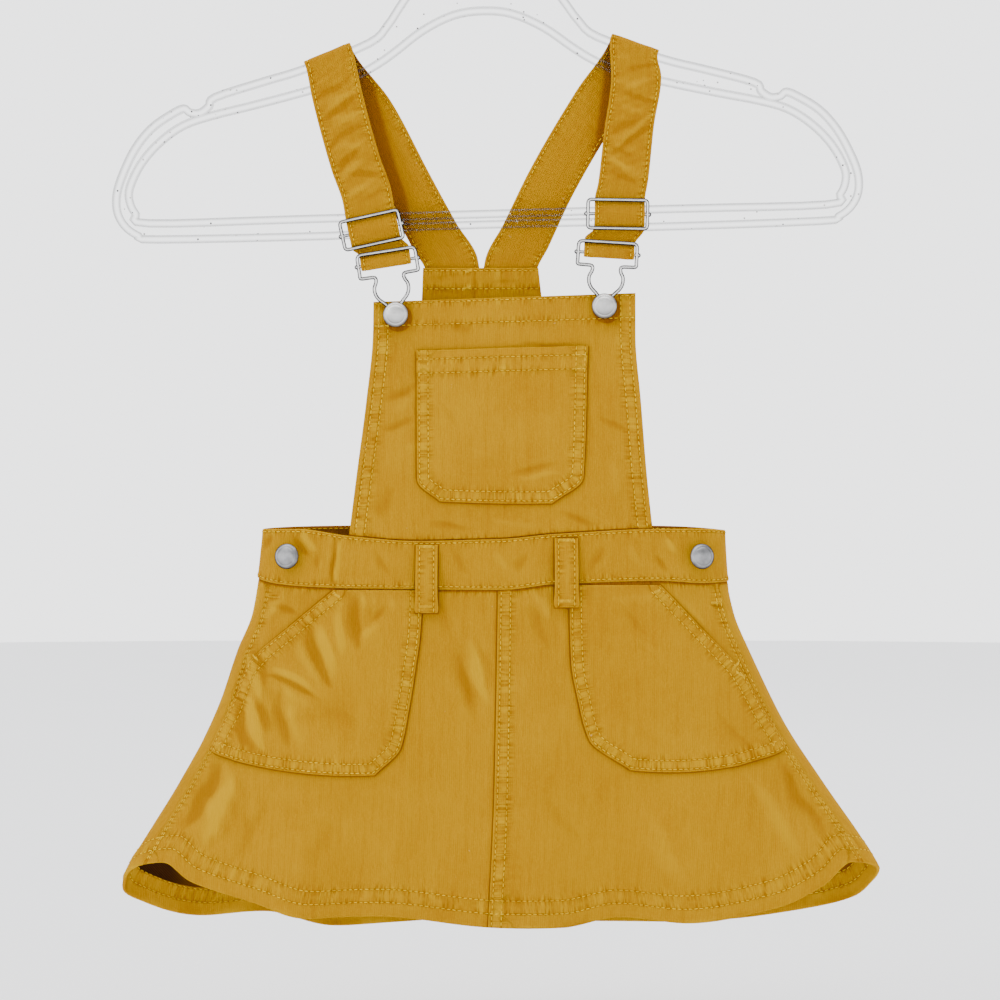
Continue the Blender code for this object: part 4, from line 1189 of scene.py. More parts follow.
# Painted shadow beside the pocket, the belt loops, the waistband's foot and, on the left panel, the right
# panel's lapped edge.
def skirt_shade_gap(pocket, overlap=None):
    outline = patch_outline(pocket)

    def shade_gap(turn, drop):
        x = ring(turn, drop)[..., 0]
        gap = np.minimum(outside_of(x, drop, outline), under_loops(x, drop))
        gap = np.minimum(gap, below_waist(turn, drop))
        return gap if overlap is None else np.minimum(gap, overlap(turn, drop))
    return shade_gap


def turned_hem(turn, drop):
    """The hem's inner layer."""
    return 0.85 * eased((HEM_TURNED_UP - above_hem(turn, drop)) / 0.7)


SKIRT_LEFT = Cloth(ring, skirt_shape, left_seams, turned_under=turned_hem,
                   shade_gap=skirt_shade_gap(HIP_POCKET_LEFT, lambda turn, drop: -off_centre(turn, drop)))
SKIRT_RIGHT = Cloth(ring, skirt_shape, right_seams, turned_under=turned_hem,
                    shade_gap=skirt_shade_gap(HIP_POCKET_RIGHT))
SKIRT_BACK = Cloth(ring, skirt_shape, hem_and_waist, turned_under=turned_hem, shade_gap=below_waist)


def centre_turn(drop):
    return front_turn(CENTRE_SEAM.at("x", drop), drop)


def straight(seam):
    """A seam that stays at one turn at every drop."""
    return lambda drop: np.full(np.shape(drop), seam)


def make_skirt_panel(name, cloth, start, end, zero, step):
    """start and end give each seam's turn at a drop; zero is the share where the grain line runs."""
    _, length = even_share(start(SKIRT_LEVEL), end(SKIRT_LEVEL), SKIRT_LEVEL, 0)
    shares, _ = even_share(start(SKIRT_LEVEL), end(SKIRT_LEVEL), SKIRT_LEVEL, spaced(length, step))
    down = spaced(160.0, step)[:, None]
    drop = np.broadcast_to(between(WAIST_DROP, 500.0, down), (len(down), len(shares)))
    for _ in range(5):
        turn = between(start(drop), end(drop), shares)
        drop = between(WAIST.at("bottom", turn % FULL_TURN), HEM.at("drop", turn % FULL_TURN), down)
    steps = np.linalg.norm(np.diff(ring(turn, drop), axis=1), axis=-1)
    reached = np.concatenate((np.zeros((len(down), 1)), np.cumsum(steps, axis=1)), axis=1)
    sheet_mesh(name, cloth, turn, drop, reached - reached[:, -1:] * zero, drop)
    row = np.linspace(float(start(HEM_LEVEL)) + 0.25, float(end(HEM_LEVEL)) - 0.25, 1100)
    for off in HEM_ROWS:
        stitch(cloth, row, HEM.at("drop", row % FULL_TURN) - off, BOTH_FACES)


def side_stitches(cloth, seam, rows, towards):
    drops = np.arange(372.0, 503.0, 0.8)
    reach = np.linalg.norm(ring(seam + 0.5, drops) - ring(seam - 0.5, drops), axis=-1)
    for off in rows:
        stitch(cloth, seam + towards * off / reach, drops)


def make_skirt():
    left, right, left_from_behind = straight(LEFT_SEAM), straight(RIGHT_SEAM), straight(FULL_TURN + LEFT_SEAM)
    make_skirt_panel("skirt_front_left", SKIRT_LEFT, left, centre_turn, 1.0, 1.2)
    make_skirt_panel("skirt_front_right", SKIRT_RIGHT, centre_turn, right, 0.0, 1.2)
    make_skirt_panel("skirt_back", SKIRT_BACK, right, left_from_behind, 0.5, 1.6)
    drops = np.arange(371.0, 532.0, 0.8)
    for off in SEAM_ROWS:
        x = CENTRE_SEAM.at("x", drops) + off
        keep = above_hem(front_turn(x, drops), drops) > 1.0
        stitch(SKIRT_RIGHT, front_turn(x[keep], drops[keep]), drops[keep], BOTH_FACES)
    for row in SIDE_TACKS:
        tacks(Cloth(skirt_front, front_shape, lambda x, drop: []), *row)
    side_stitches(SKIRT_LEFT, LEFT_SEAM, LEFT_SIDE_ROWS, 1)
    side_stitches(SKIRT_RIGHT, RIGHT_SEAM, RIGHT_SIDE_ROWS, -1)


# ---------------------------------------------------------------- bibs
def bib_top(x, drop):
    left, right = BIB.at("left", drop), BIB.at("right", drop)
    return between(BIB_TOP_LEFT, BIB_TOP_RIGHT, (x - left) / (right - left))


def bib_foot(x):
    return WAIST.at("top", front_turn(x, WAIST_DROP))


def bib_shape(x, drop):
    shape = creases(BIB_CREASES, x, drop) + ripple(x, drop, 21, 0.35)
    return shape * eased((bib_foot(x) - drop) / 4 + 0.25)


def bib_seams(x, drop):
    return [(x - BIB.at("left", drop), drop, BIB_SIDE_ROWS, 0.4, 0.3, 0.24),
            (BIB.at("right", drop) - x, drop + 500, BIB_SIDE_ROWS, 1.9, 0.3, 0.24),
            (drop - bib_top(x, drop), x, BIB_TOP_ROWS, 3.3, 0.3, 0.10),
            (bib_foot(x) - drop, x + 900, (-0.8, 0.2), 5.2, 0.0, 0.20)]


def bib_shade_gap(x, drop):
    """The bib lies under the chest pocket, the waistband and the buttons, whose shade falls low and right."""
    outline = patch_outline(CHEST_POCKET)
    (left, left_drop), (right, right_drop) = outline[0], outline[-1]
    over_pocket = drop < between(left_drop, right_drop, (x - left) / (right - left))
    # These gaps set painted shadow: beside the pocket, fainter along its top, above the waistband, and low
    # and right of each button.
    gaps = [outside_of(x, drop, outline) + 0.45 * over_pocket, bib_foot(x) - drop]
    gaps += [np.hypot(x - fitting.button_x - 1.2, drop - fitting.button_drop - 1.4) - BUTTON_RADIUS - 0.1
             for fitting in FITTINGS]
    return np.minimum.reduce(gaps)


BIB_FRONT = Cloth(front_bib_surface, bib_shape, bib_seams, shade_gap=bib_shade_gap)


def make_bib_front():
    across, down = spaced(145.0, 1.05), spaced(118.0, 1.05)[:, None]
    top = between(BIB_TOP_LEFT, BIB_TOP_RIGHT, across)
    x = between(BIB.at("left", WAIST_DROP), BIB.at("right", WAIST_DROP), across)
    drop = between(top, bib_foot(x) - BIB_TO_BAND, down)
    x = between(BIB.at("left", drop), BIB.at("right", drop), across)
    sheet_mesh("bib_front", BIB_FRONT, x, drop, x, drop)
    drops = np.arange(226.0, 339.5, 0.8)
    for off in BIB_SIDE_ROWS:
        stitch(BIB_FRONT, BIB.at("left", drops) + off, drops + 1.6, BOTH_FACES)
        stitch(BIB_FRONT, BIB.at("right", drops) - off, drops - 1.6, BOTH_FACES)
    share = np.linspace(0.012, 0.988, 180)
    for off in BIB_TOP_ROWS:
        drop = between(BIB_TOP_LEFT, BIB_TOP_RIGHT, share) + off
        stitch(BIB_FRONT, between(BIB.at("left", drop), BIB.at("right", drop), share), drop, BOTH_FACES)


def back_bib_shape(x, drop):
    shape = creases(BACK_BIB_CREASES, x, drop) + ripple(x, drop, 31, 0.4)
    return shape * eased((drop - YOKE_TOP) / 20 + 0.15)


def back_bib_seams(x, drop):
    return [(x - BACK_BIB.at("left", drop), drop, POCKET_ROWS, 0.9, 0.2, 0.2),
            (BACK_BIB.at("right", drop) - x, drop + 300, POCKET_ROWS, 1.4, 0.2, 0.2),
            (drop - YOKE_TOP, x, YOKE_ROWS, 2.1, 0.1, 0.05)]


def yoke_shape(x, drop):
    return creases(YOKE_CREASES, x, drop)


def yoke_seams(x, drop):
    return [(drop - YOKE_TOP, x, YOKE_ROWS, 2.4, 0.2, 0.18)]


BIB_BACK = Cloth(back_bib_surface, back_bib_shape, back_bib_seams, facing=-1)
YOKE = Cloth(yoke_surface, yoke_shape, yoke_seams)


def back_bib_places(foot, across, down):
    drop = between(YOKE_TOP, foot, down) + 0 * across
    return between(BACK_BIB.at("left", drop), BACK_BIB.at("right", drop), across), drop


def make_bib_back():
    foot = WAIST.at("top", BACK_MIDDLE) - BIB_TO_BAND
    x, drop = back_bib_places(foot, spaced(110.0, 1.5), spaced(128.0, 1.5)[:, None])
    sheet_mesh("bib_back", BIB_BACK, x, drop, x, drop)
    drops = np.arange(211.0, 334.0, 0.8)
    for off in POCKET_ROWS:
        stitch(BIB_BACK, BACK_BIB.at("left", drops) + off, drops, BOTH_FACES)
        stitch(BIB_BACK, BACK_BIB.at("right", drops) - off, drops, BOTH_FACES)


def make_yoke():
    """The facing band, stitched through to the back bib."""
    x, drop = back_bib_places(YOKE_FOOT, spaced(58.0, 0.8), spaced(17.3, 0.6)[:, None])
    sheet_mesh("yoke_facing", YOKE, x, drop, x, drop)
    for row in YOKE_TACKS:
        tacks(YOKE, *row)
    x = np.linspace(-26.4, 29.4, 80)
    for off in YOKE_ROWS:
        for cloth in (YOKE, BIB_BACK):
            stitch(cloth, x, np.full(x.shape, YOKE_TOP + off))


# ---------------------------------------------------------------- pockets
def make_patch(name, surface, table, under, sizes, seed,
               own_creases=(), hem_rows=(), shade_gap=None, tacked=()):
    """A patch pocket. under is the shape of the cloth that it lies on; sizes are width, height and step."""
    outline = patch_outline(table)
    (top_left, left_drop), (top_right, right_drop) = outline[0], outline[-1]

    def top_at(x):
        return between(left_drop, right_drop, (x - top_left) / (top_right - top_left))

    def shape(x, drop):
        off, _ = off_line(x, drop, outline)
        tucked = 0.0 if hem_rows else 0.6 * eased((PATCH_TUCK - drop + top_at(x)) / 6)
        return under(x, drop) + creases(own_creases, x, drop) - 0.42 * bell(off, 1.0) - tucked

    def seams(x, drop):
        off, along = off_line(x, drop, outline)
        rows = [(off, along, POCKET_ROWS, seed, 0.22, 0.30)]
        return rows + ([(drop - top_at(x), x + 700, hem_rows, seed + 1, 0.32, 0.16)] if hem_rows else [])

    cloth = Cloth(surface, shape, seams, lift=PATCH_LIFT, wall=PATCH_WALL, shade_gap=shade_gap)
    width, height, step = sizes
    x, drop = patch_places(table, spaced(width, step), spaced(height, step)[:, None])
    sheet_mesh(name, cloth, x, drop, x, drop)
    for off in POCKET_ROWS:
        x, drop = dense(inset_line(outline, off))
        keep = drop - top_at(x) > 1.2
        stitch(cloth, x[keep], drop[keep])
    for off in hem_rows:
        x = np.linspace(top_left + 2.0, top_right - 2.0, 120)
        stitch(cloth, x, top_at(x) + off)
    for row in tacked:
        tacks(cloth, *row)


# ---------------------------------------------------------------- belt loops
def make_belt_loop(side, x, top, bottom, width):
    """A strip that bows over the waistband, flares at its foot and is tacked at both ends."""
    def shape(u, drop):
        t = (drop - top) / (bottom - top)
        on_band = BAND_WALL / 2 + LAY_GAP + PATCH_WALL / 2
        on_pocket = PATCH_LIFT + PATCH_WALL + LAY_GAP
        height = between(on_band, on_pocket, eased(t / BAND_SHARE_OF_LOOP))
        height = height + LOOP_BULGE * np.sin(math.pi * np.clip(t, 0, 1))
        return height + 0.25 * bell(u - x, 1.8) + 0.35 * bell(t - 1.0, 0.09) + 0.3 * bell(t, 0.06)

    def seams(u, drop):
        return [(width / 2 - np.abs(u - x), drop + 60 * (u > x), (LOOP_ROW,), x, 0.1, 0.12)]

    cloth = Cloth(skirt_front, shape, seams, wall=PATCH_WALL)
    across, down = spaced(width, 0.6), spaced(bottom - top, 0.8)[:, None]
    drop = between(top, bottom, down) + 0 * across
    flare = (1 + LOOP_FLARE * eased((down - 0.72) / 0.28)) * (1 - 0.10 * bell(down - 1, 0.03))
    u = x + (across - 0.5) * width * flare
    name = "belt_loop_" + side
    sheet_mesh(name, cloth, u, drop, u, drop)
    drops = np.arange(top + 1.4, bottom - 1.2, 0.7)
    for off in (LOOP_ROW - width / 2, width / 2 - LOOP_ROW):
        stitch(cloth, np.full(drops.shape, x + off), drops)
    tacks(cloth, x, bottom - 2.4, width - 4.0, 0.0)
    tacks(cloth, x, top + 1.7, width - 4.0, 0.0)


# ---------------------------------------------------------------- straps
def turned(x, up, tilt):
    """A point of a small part's own frame, tilted in the plane of the dress."""
    cos, sin = math.cos(math.radians(tilt)), math.sin(math.radians(tilt))
    return x * cos - up * sin, x * sin + up * cos


def arm_top(place):
    """Drop of the hanger arm's top edge at a distance from the axis, and the arm's slope."""
    inner, outer = HANGER_OUTER[6], HANGER_OUTER[7]
    slope = (outer[1] - inner[1]) / (outer[0] - inner[0])
    return inner[1] + (abs(place) - inner[0]) * slope, math.degrees(math.atan(slope))


def over_arm(place):
    """Rows of a strap that bends over the hanger's arm at a distance from the axis."""
    own_drop, slope = arm_top(place)
    crest_x, crest_up = turned(place, -own_drop, HANGER_TILT)
    tilt = math.copysign(slope, -place) + HANGER_TILT
    bend, flat = RIM_HALF + LAY_GAP + STRAP_WALL / 2, RIM_DEPTH - RIM_HALF
    rows = []
    for angle in (180, 150, 120, 90, 60, 30, 0):
        middle = -flat if angle < 90 else flat if angle > 90 else 0
        y = middle - bend * math.cos(math.radians(angle))
        x_shift, z_shift = turned(0, bend * math.sin(math.radians(angle)) - RIM_HALF, tilt)
        rows.append((crest_x + x_shift, y, -(crest_up + z_shift), tilt, STRAP_WIDTH / 2))
    return rows


def strap_route(fitting):
    """Rows (x, y, drop, tilt, half width) of a strap, and which one enters the slider.

    It runs from the back band over the hanger to the slider, round the hook's low bar and back up.
    """
    def in_part(x, drop, tilt, shift, up, y):
        across, rise = turned(shift, up, tilt)
        return (x + across, y, drop - rise, tilt, STRAP_WIDTH / 2)

    def on_slider(up, y):
        return in_part(fitting.slider_x, fitting.slider_drop, fitting.slider_tilt, fitting.slider_shift,
                       up, y)

    def on_hook(up, y):
        return in_part(fitting.button_x, fitting.button_drop, fitting.hook_tilt, fitting.hook_shift, up, y)

    route = [*BACK_RUNS[fitting.side], *over_arm(CREST_PLACES[fitting.side]), *FRONT_RUNS[fitting.side]]
    slider_row = len(route)
    behind_slider, over_slider = -SLIDER_DEPTH + STRAP_TO_WIRE, -SLIDER_DEPTH - STRAP_TO_WIRE
    for share, y in ((1, behind_slider), (0.5, -SLIDER_DEPTH), (0, over_slider), (-0.5, -SLIDER_DEPTH),
                     (-1, behind_slider)):
        route.append(on_slider(share * SLIDER_HALF_HEIGHT, y))
    route.append(on_hook(HOOK_TOP_BAR, -HOOK_DEPTH + STRAP_TO_WIRE + HOOK_SLACK))
    route.append(on_hook((HOOK_TOP_BAR + HOOK_LOW_BAR) / 2, -HOOK_DEPTH))
    for angle in (180, 140, 100, 60, 20):
        y = -HOOK_DEPTH + STRAP_TO_WIRE * math.cos(math.radians(angle))
        route.append(on_hook(HOOK_LOW_BAR - STRAP_TO_WIRE * math.sin(math.radians(angle)), y))
    route.append(on_hook(HOOK_TOP_BAR - 1.5, -RETURN_DEPTH - 0.75))
    route.append(on_hook(HOOK_TOP_BAR + 1.5, -RETURN_DEPTH))
    route.append(on_slider(-SLIDER_HALF_HEIGHT + 0.5, -RETURN_DEPTH))
    route.append(on_slider(-1.5, behind_slider + 0.2))
    return route, slider_row


def make_strap(fitting):
    side = fitting.side
    rows, slider_row = strap_route(fitting)
    reached = np.concatenate(([0], np.cumsum([math.dist(a[:3], b[:3]) for a, b in zip(rows, rows[1:])])))
    line = Table("along x y drop tilt half", [(at, *row) for at, row in zip(reached, rows)])
    length, slider_at, crest_at = reached[-1], reached[slider_row], reached[len(BACK_RUNS[side]) + 3]

    def surface(u, along):
        tilt = np.radians(line.at("tilt", along))
        half = line.at("half", along) / (STRAP_WIDTH / 2)
        x = line.at("x", along) + u * half * np.cos(tilt)
        up = u * half * np.sin(tilt) - line.at("drop", along)
        return np.stack(np.broadcast_arrays(x, line.at("y", along) + 0 * u, up), -1)

    def shape(u, along):
        total = 0.08 * bell(STRAP_WIDTH / 2 - np.abs(u) - 3.6, 1.2)
        free = eased((slider_at - 6 - along) / 8) * eased((along - 60) / 20)
        for place, across, slant, width, height in STRAP_CREASES[side]:
            away = along - (slider_at - place) + slant * u + 1.6 * wander(u, along, place)
            total = total + free * height * bell(away, width) * bell(u - across, 8.0)
        fine = 0.10 * wander(u * 0.7, along * 2.3, 5) + 0.05 * np.sin(along * 1.3 + 0.5 * u)
        return total + (fine + ripple(u * 1.5, along, 41 + (side == "left"), 0.18)) * free

    def seams(u, along):
        off = STRAP_WIDTH / 2 - np.abs(u)
        return [(off, along + 400 * (u > 0), (STRAP_ROW,), 1.1 + (side == "left"), 0.0, 0.10)]

    def shade_gap(u, along):
        """The back run lies in the shade of the front run beside it."""
        place = surface(u, along)
        front = np.interp(-place[..., 2], *SHADE_LINES[side])
        beside = (place[..., 0] - front) * (1 if side == "left" else -1) - STRAP_WIDTH / 2 - 0.6
        # Painted cast shadow of the front run on the near side of the back run.
        return np.where(along < crest_at, 0.65 + 0.25 * (beside - SHADE_WIDTHS[side]), FAR)

    cloth = Cloth(surface, shape, seams, wall=STRAP_WALL - 0.3, shade_gap=shade_gap)
    u = (spaced(STRAP_WIDTH, 1.1) - 0.5) * STRAP_WIDTH
    runs = [np.linspace(a, b, max(2, int(math.ceil((b - a) / 1.1)) + 1))[:-1]
            for a, b in zip(reached, reached[1:])]
    along, u = np.meshgrid(np.concatenate(runs + [[length]]), u, indexing="ij")
    piece = sheet_mesh("strap_" + side, cloth, u, along, u, along, True, -0.45)
    places = np.arange(1.5, length - 1.5, 0.6)
    for off in (STRAP_ROW - STRAP_WIDTH / 2, STRAP_WIDTH / 2 - STRAP_ROW):
        stitch(cloth, np.full(places.shape, off), places, BOTH_FACES)


# ---------------------------------------------------------------- metal
def poly_curve(name, outlines, closed):
    """A curve object's data with one straight-lined spline for each outline, in millimetres."""
    curve = bpy.data.curves.new(name, "CURVE")
    for outline in outlines:
        line = curve.splines.new("POLY")
        line.points.add(len(outline) - 1)
        for point, place in zip(line.points, outline):
            point.co = (*(Vector(place).to_3d() * MM), 1)
        line.use_cyclic_u = closed
    return curve


def wire(name, points, radius, closed):
    """A round wire along points, as a closed mesh."""
    curve = poly_curve(name, [points], closed)
    curve.dimensions = "3D"
    curve.fill_mode = "FULL"
    curve.bevel_depth = radius * MM
    curve.bevel_resolution = 4
    curve.use_fill_caps = True
    return curve_to_mesh(name, curve)


def curve_to_mesh(name, curve, turn=None):
    """The curve's mesh with its caps welded."""
    holder = linked(bpy.data.objects.new(name + "_line", curve))
    if turn is not None:
        holder.matrix_world = turn
    shape = holder.evaluated_get(bpy.context.evaluated_depsgraph_get())
    mesh = bpy.data.meshes.new_from_object(shape)
    mesh.transform(holder.matrix_world)
    bpy.data.objects.remove(holder)
    welded = bmesh.new()
    welded.from_mesh(mesh)
    bmesh.ops.remove_doubles(welded, verts=welded.verts, dist=0.005 * MM)
    bmesh.ops.recalc_face_normals(welded, faces=welded.faces)
    welded.to_mesh(mesh)
    welded.free()
    return mesh


def smooth_but_for(mesh, finish, angle):
    """One finish, and smooth shading but for edges sharper than an angle in degrees."""
    mesh.materials.clear()
    mesh.materials.append(finish)
    mesh.shade_smooth()
    mesh.set_sharp_from_angle(angle=math.radians(angle))


def joined(name, meshes, finish):
    """Several meshes as one piece."""
    both = bmesh.new()
    for mesh in meshes:
        both.from_mesh(mesh)
    whole = bpy.data.meshes.new(name)
    both.to_mesh(whole)
    both.free()
    smooth_but_for(whole, finish, 50)
    return linked(bpy.data.objects.new(name, whole))


def ball(centre, radius):
    shape = bmesh.new()
    bmesh.ops.create_uvsphere(shape, u_segments=16, v_segments=10, radius=radius * MM)
    shape.transform(Matrix.Translation(Vector(centre) * MM))
    mesh = bpy.data.meshes.new("ball")
    shape.to_mesh(mesh)
    shape.free()
    return mesh


def round_corners(corners, radius, steps):
    """A closed outline with each corner turned into an arc."""
    outline = []
    for i, corner in enumerate(corners):
        here = Vector(corner)
        to_last = (Vector(corners[i - 1]) - here).normalized()
        to_next = (Vector(corners[(i + 1) % len(corners)]) - here).normalized()
        for step in range(steps + 1):
            t = step / steps
            outline.append(here + to_last * radius * (1 - t) ** 2 + to_next * radius * t ** 2)
    return outline


def smooth_loop(points, steps):
    """A smooth closed curve through points, as more points."""
    count = len(points)
    smoothed = []
    for i in range(count):
        before, here, there, after = (Vector(points[j % count]) for j in (i - 1, i, i + 1, i + 2))
        for step in range(steps):
            t = step / steps
            smoothed.append(0.5 * (2 * here + (there - before) * t
                                   + (2 * before - 5 * here + 4 * there - after) * t * t
                                   + (3 * here - before - 3 * there + after) * t ** 3))
    return smoothed


def wire_and_bar(name, outline, half, bar_up, place):
    """A bent wire with a bar across it, whose ends are headed outside the wire."""
    bar = [place((end * (half + KNOB), bar_up)) for end in (-1, 1)]
    meshes = [wire("frame", [place(point) for point in outline], WIRE_RADIUS, True),
              wire("bar", bar, BAR_RADIUS, False)]
    meshes += [ball(place((end * (half + KNOB_IN), bar_up)), KNOB_RADIUS) for end in (-1, 1)]
    put(joined(name + "_wire", meshes, WIRE_NICKEL), name)


def make_slider(fitting):
    def place(point):
        across, up = turned(*point, fitting.slider_tilt)
        return (fitting.slider_x + across, -SLIDER_DEPTH, up - fitting.slider_drop)

    w, h = SLIDER_HALF_WIDTH, SLIDER_HALF_HEIGHT
    outline = round_corners(((-w, h), (w, h), (w, -h), (-w, -h)), SLIDER_CORNER, 8)
    wire_and_bar("slider_" + fitting.side, outline, w, 0, place)


def make_bib_hook(fitting):
    """Shoulders, a neck and a slot round the button's stem, one half mirrored to the other."""
    def place(point):
        across, up = turned(*point, fitting.hook_tilt)
        return (fitting.button_x + across, -HOOK_DEPTH, up - fitting.button_drop)

    top, wide = HOOK_TOP_BAR, HOOK_HALF_WIDTH
    half = [(0, top), (wide - 3.2, top), (wide - 1.3, top - 0.2), (wide - 0.3, top - 1.0), (wide, top - 2.6),
            (wide, HOOK_LOW_BAR), (wide, 22.4), *BIB_HOOK_HALF]
    slot = half[-1][0]
    half += [turned(slot, 0, -angle) for angle in SLOT_ANGLES]
    outline = smooth_loop(half + [(-across, up) for across, up in reversed(half[1:-1])], 6)
    wire_and_bar("bib_hook_" + fitting.side, outline, wide, HOOK_LOW_BAR, place)


def make_button(name, foot, outward, finish):
    """A domed button with a rolled rim, on its stem and flange."""
    under = FLANGE_THICKNESS + STEM_LENGTH
    profile = [(BUTTON_RADIUS * share, under + BUTTON_CAP - below) for share, below in CAP_PROFILE]
    profile += [(STEM_RADIUS + 0.6, under + 0.12), (STEM_RADIUS, under - 0.3),
                (STEM_RADIUS, FLANGE_THICKNESS + 0.3), (STEM_RADIUS + 0.4, FLANGE_THICKNESS),
                (FLANGE_RADIUS - 0.2, FLANGE_THICKNESS), (FLANGE_RADIUS, FLANGE_THICKNESS - 0.2),
                (FLANGE_RADIUS, 0), (0, 0)]
    outline = bmesh.new()
    verts = [outline.verts.new((across * MM, 0, up * MM)) for across, up in profile]
    for pair in zip(verts, verts[1:]):
        outline.edges.new(pair)
    bmesh.ops.spin(outline, geom=outline.verts[:] + outline.edges[:], cent=(0, 0, 0), axis=(0, 0, 1),
                   angle=2 * math.pi, steps=48, use_merge=True)
    bmesh.ops.remove_doubles(outline, verts=outline.verts, dist=0.01 * MM)
    bmesh.ops.recalc_face_normals(outline, faces=outline.faces)
    facing = Vector(outward).to_track_quat("Z", "Y").to_matrix().to_4x4()
    outline.transform(Matrix.Translation(Vector(foot) * MM) @ facing)
    mesh = bpy.data.meshes.new(name)
    outline.to_mesh(mesh)
    outline.free()
    put(joined(name + "_dome", [mesh], finish), name)


def make_buttons():
    for fitting in FITTINGS:
        foot = front_bib_surface(fitting.button_x, fitting.button_drop)
        foot[1] -= SKIRT_WALL / 2 + LAY_GAP + FLANGE_SAG
        make_button("bib_button_" + fitting.side, foot, (0, -1, 0), BUTTON_NICKEL)
    flat = Cloth(skirt_front, lambda x, drop: 0 * (x + drop), lambda x, drop: [], wall=0)
    for side, x in WAIST_BUTTONS.items():
        lift = WAIST_BUTTON_LIFT + LAY_GAP + FLANGE_SAG
        foot = flat.face(np.array(x), np.array(WAIST_BUTTON_DROP), 1, 1.0, lift)
        make_button("waist_button_" + side, foot, foot - skirt_front(x, WAIST_BUTTON_DROP), DARK_NICKEL)


# ---------------------------------------------------------------- hanger
def inset(points, distance):
    """A closed outline moved to its left-hand side by a distance."""
    moved = []
    for i, point in enumerate(points):
        here = Vector(point)
        before = (here - Vector(points[i - 1])).normalized()
        after = (Vector(points[(i + 1) % len(points)]) - here).normalized()
        along = (before + after).normalized()
        reach = distance / max(along.dot(after), 0.5)
        moved.append(here + Vector((-along.y, along.x)) * reach)
    return moved


def whole_outline(half):
    """Mirror a half outline, which runs down from the axis on the right, to a closed one."""
    right = [Vector((across, -down)) for across, down in half]
    left = [Vector((-point.x, point.y)) for point in reversed(right) if point.x > 0]
    return right + left


def hanger_hook():
    """A round rod up the hanger's axis and round the rail."""
    def leaning(across, up):
        x, z = turned(across, up, HANGER_TILT)
        return (x, 0, z)

    centre = HOOK_WIRE - HOOK_RADIUS
    neck = [leaning(0, up) for up in (-HOOK_FOOT, centre - HOOK_RADIUS - HOOK_WIRE)]
    around = [turned(0, -HOOK_RADIUS, turn) for turn in range(6, 289, 6)]
    return wire("hook", neck + [leaning(across, centre + up) for across, up in around], HOOK_WIRE, False)


def make_hanger():
    """A thin web between an outer and an inner rim, with the hook above, made one solid."""
    stand = Matrix.Rotation(math.radians(-HANGER_TILT), 4, "Y") @ Matrix.Rotation(math.radians(90), 4, "X")
    outer = smooth_loop(inset(whole_outline(HANGER_OUTER), -RIM_HALF), 4)
    window = smooth_loop(inset(whole_outline(HANGER_WINDOW), RIM_HALF), 4)
    web = poly_curve("web", [outer, window], True)
    web.dimensions = "2D"
    web.fill_mode = "BOTH"
    web.extrude = WEB_HALF * MM
    hanger = joined("clear_hanger", [curve_to_mesh("web", web, stand)], PLASTIC)
    tools = bpy.data.collections.new("hanger_tools")
    for name, outline in (("outer_rim", outer), ("inner_rim", window)):
        rim = poly_curve(name, [outline], True)
        rim.dimensions = "3D"
        rim.twist_mode = "Z_UP"
        rim.fill_mode = "FULL"
        rim.extrude = (RIM_DEPTH - RIM_HALF) * MM
        rim.bevel_depth = RIM_HALF * MM
        rim.bevel_resolution = 3
        tools.objects.link(bpy.data.objects.new(name, curve_to_mesh(name, rim, stand)))
    tools.objects.link(bpy.data.objects.new("hook", hanger_hook()))
    join = hanger.modifiers.new("Join", "BOOLEAN")
    join.operation, join.solver, join.use_self = "UNION", "EXACT", True
    join.operand_type, join.collection = "COLLECTION", tools
    bpy.context.view_layer.update()
    mesh = bpy.data.meshes.new_from_object(hanger.evaluated_get(bpy.context.evaluated_depsgraph_get()))
    hanger.modifiers.clear()
    hanger.data = mesh
    smooth_but_for(mesh, PLASTIC, 40)
    for tool in list(tools.objects):
        bpy.data.objects.remove(tool)
    bpy.data.collections.remove(tools)
    put(hanger, "hanger")


# ---------------------------------------------------------------- stitches
def stitch_tree():
    """Geometry Nodes that lay one thread stitch after another along each line."""
    group = bpy.data.node_groups.new("stitch_rows", "GeometryNodeTree")
    face = group.interface
    face.new_socket("Geometry", in_out="INPUT", socket_type="NodeSocketGeometry")
    for name in ("Step", "Length", "Radius"):
        face.new_socket(name, in_out="INPUT", socket_type="NodeSocketFloat")
    face.new_socket("Seed", in_out="INPUT", socket_type="NodeSocketInt")
    face.new_socket("Geometry", in_out="OUTPUT", socket_type="NodeSocketGeometry")
    tree = Tree(group)
    given = tree.add("NodeGroupInput").outputs
    points = tree.add("GeometryNodeCurveToPoints", {"Curve": given["Geometry"], "Length": given["Step"]},
                      mode="LENGTH")
    bead = tree.add("GeometryNodeMeshUVSphere", {"Segments": 6, "Rings": 4, "Radius": 1.0})
    size = tree.add("ShaderNodeCombineXYZ", {0: given["Radius"], 1: given["Radius"],
                                             2: tree.times(given["Length"], 0.5)})
    lay = tree.add("GeometryNodeInstanceOnPoints", {
        "Points": points.outputs["Points"], "Instance": bead.outputs["Mesh"],
        "Rotation": points.outputs["Rotation"], "Scale": size.outputs[0]})
    sway = tree.add("FunctionNodeRandomValue",
                    {0: (-0.10, -0.10, 0), 1: (0.10, 0.10, 0), "Seed": given["Seed"]},
                    data_type="FLOAT_VECTOR")
    tilt = tree.add("GeometryNodeRotateInstances", {"Instances": lay.outputs[0], "Rotation": sway.outputs[0]})
    real = tree.add("GeometryNodeRealizeInstances", {0: tilt.outputs[0]})
    smooth = tree.add("GeometryNodeSetShadeSmooth", {0: real.outputs[0]})
    finish = tree.add("GeometryNodeSetMaterial", {0: smooth.outputs[0], "Material": THREAD})
    tree.add("NodeGroupOutput", {0: finish.outputs[0]})
    return group


